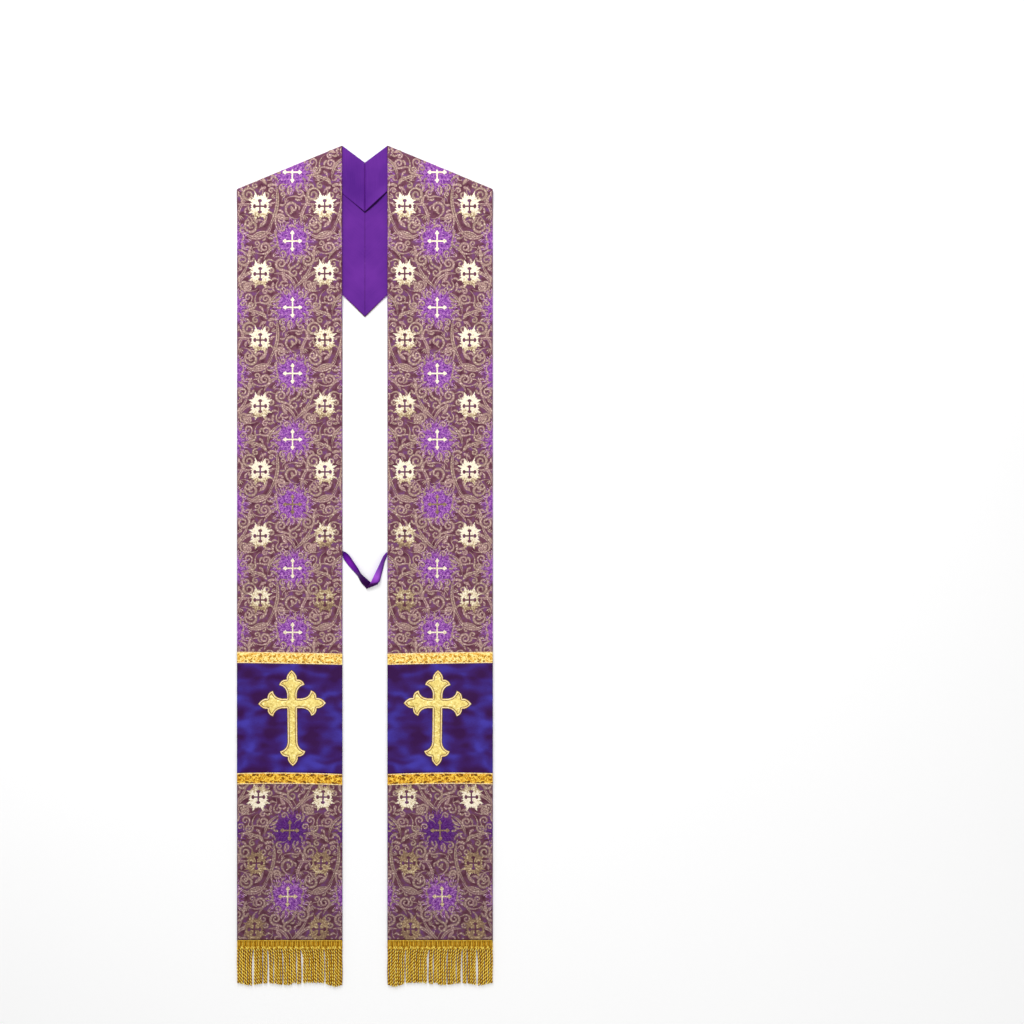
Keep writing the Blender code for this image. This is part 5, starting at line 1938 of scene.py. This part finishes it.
# %% Floor
FLOOR_CLEARANCE = 1 * MM  # so that the lining and the floor never share a plane
FLOOR_HALF = 6


def plain_floor():
    """White matt paint: it shows nothing but the soft shadow under the cloth."""
    made = bpy.data.materials.new("pale painted floor")
    made.use_nodes = True
    shader = made.node_tree.nodes["Principled BSDF"]
    shader.inputs["Base Color"].default_value = linear("#FDFDFD")
    shader.inputs["Roughness"].default_value = 0.9
    mesh = bpy.data.meshes.new("floor")
    corners = [(x * FLOOR_HALF, y * FLOOR_HALF, 0) for x, y in ((-1, -1), (1, -1), (1, 1), (-1, 1))]
    mesh.from_pydata(corners, [], [(0, 1, 2, 3)])
    mesh.materials.append(made)
    floor = in_scene("floor", mesh)
    floor.location.z = -FLOOR_CLEARANCE
    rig.stage(floor)
    return floor


floor = plain_floor()

# %% Soft lights
def soft_light(name, place, size, power):
    lamp = bpy.data.lights.new(name, "AREA")
    lamp.size = size
    lamp.energy = power
    made = in_scene(name, lamp)
    made.location = place
    made.rotation_euler = (Vector(place) * -1).to_track_quat("-Z", "Y").to_euler()


soft_light("key", (-0.35, 1.7, 1.6), 1.3, 33)
soft_light("fill", (1.3, -1.7, 2.3), 2.2, 13)
soft_light("overhead", (0.05, 0.1, 3.7), 2.2, 30)
world = bpy.data.worlds.new("studio")
world.use_nodes = True
world.node_tree.nodes["Background"].inputs["Color"].default_value = (1, 1, 1, 1)
world.node_tree.nodes["Background"].inputs["Strength"].default_value = 0.48
bpy.context.scene.world = world
bpy.context.scene.view_settings.view_transform = "Standard"

# %% Camera straight above
VIEW_CENTRE = (0.2352, 0.0874)
VIEW_WIDTH = 1.6384
LENS_MM = 70.0
SENSOR_MM = 36.0
lens = bpy.data.cameras.new("above")
lens.lens = LENS_MM
lens.sensor_width = SENSOR_MM
camera = in_scene("above", lens)
camera.location = (*VIEW_CENTRE, VIEW_WIDTH * LENS_MM / SENSOR_MM)
bpy.context.scene.camera = camera

# %% Sizes
with open("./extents.json", "w") as note:
    json.dump({"cad": [list(c) for c in CAD_BOX], "visual": [list(c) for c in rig.bounds()]}, note)
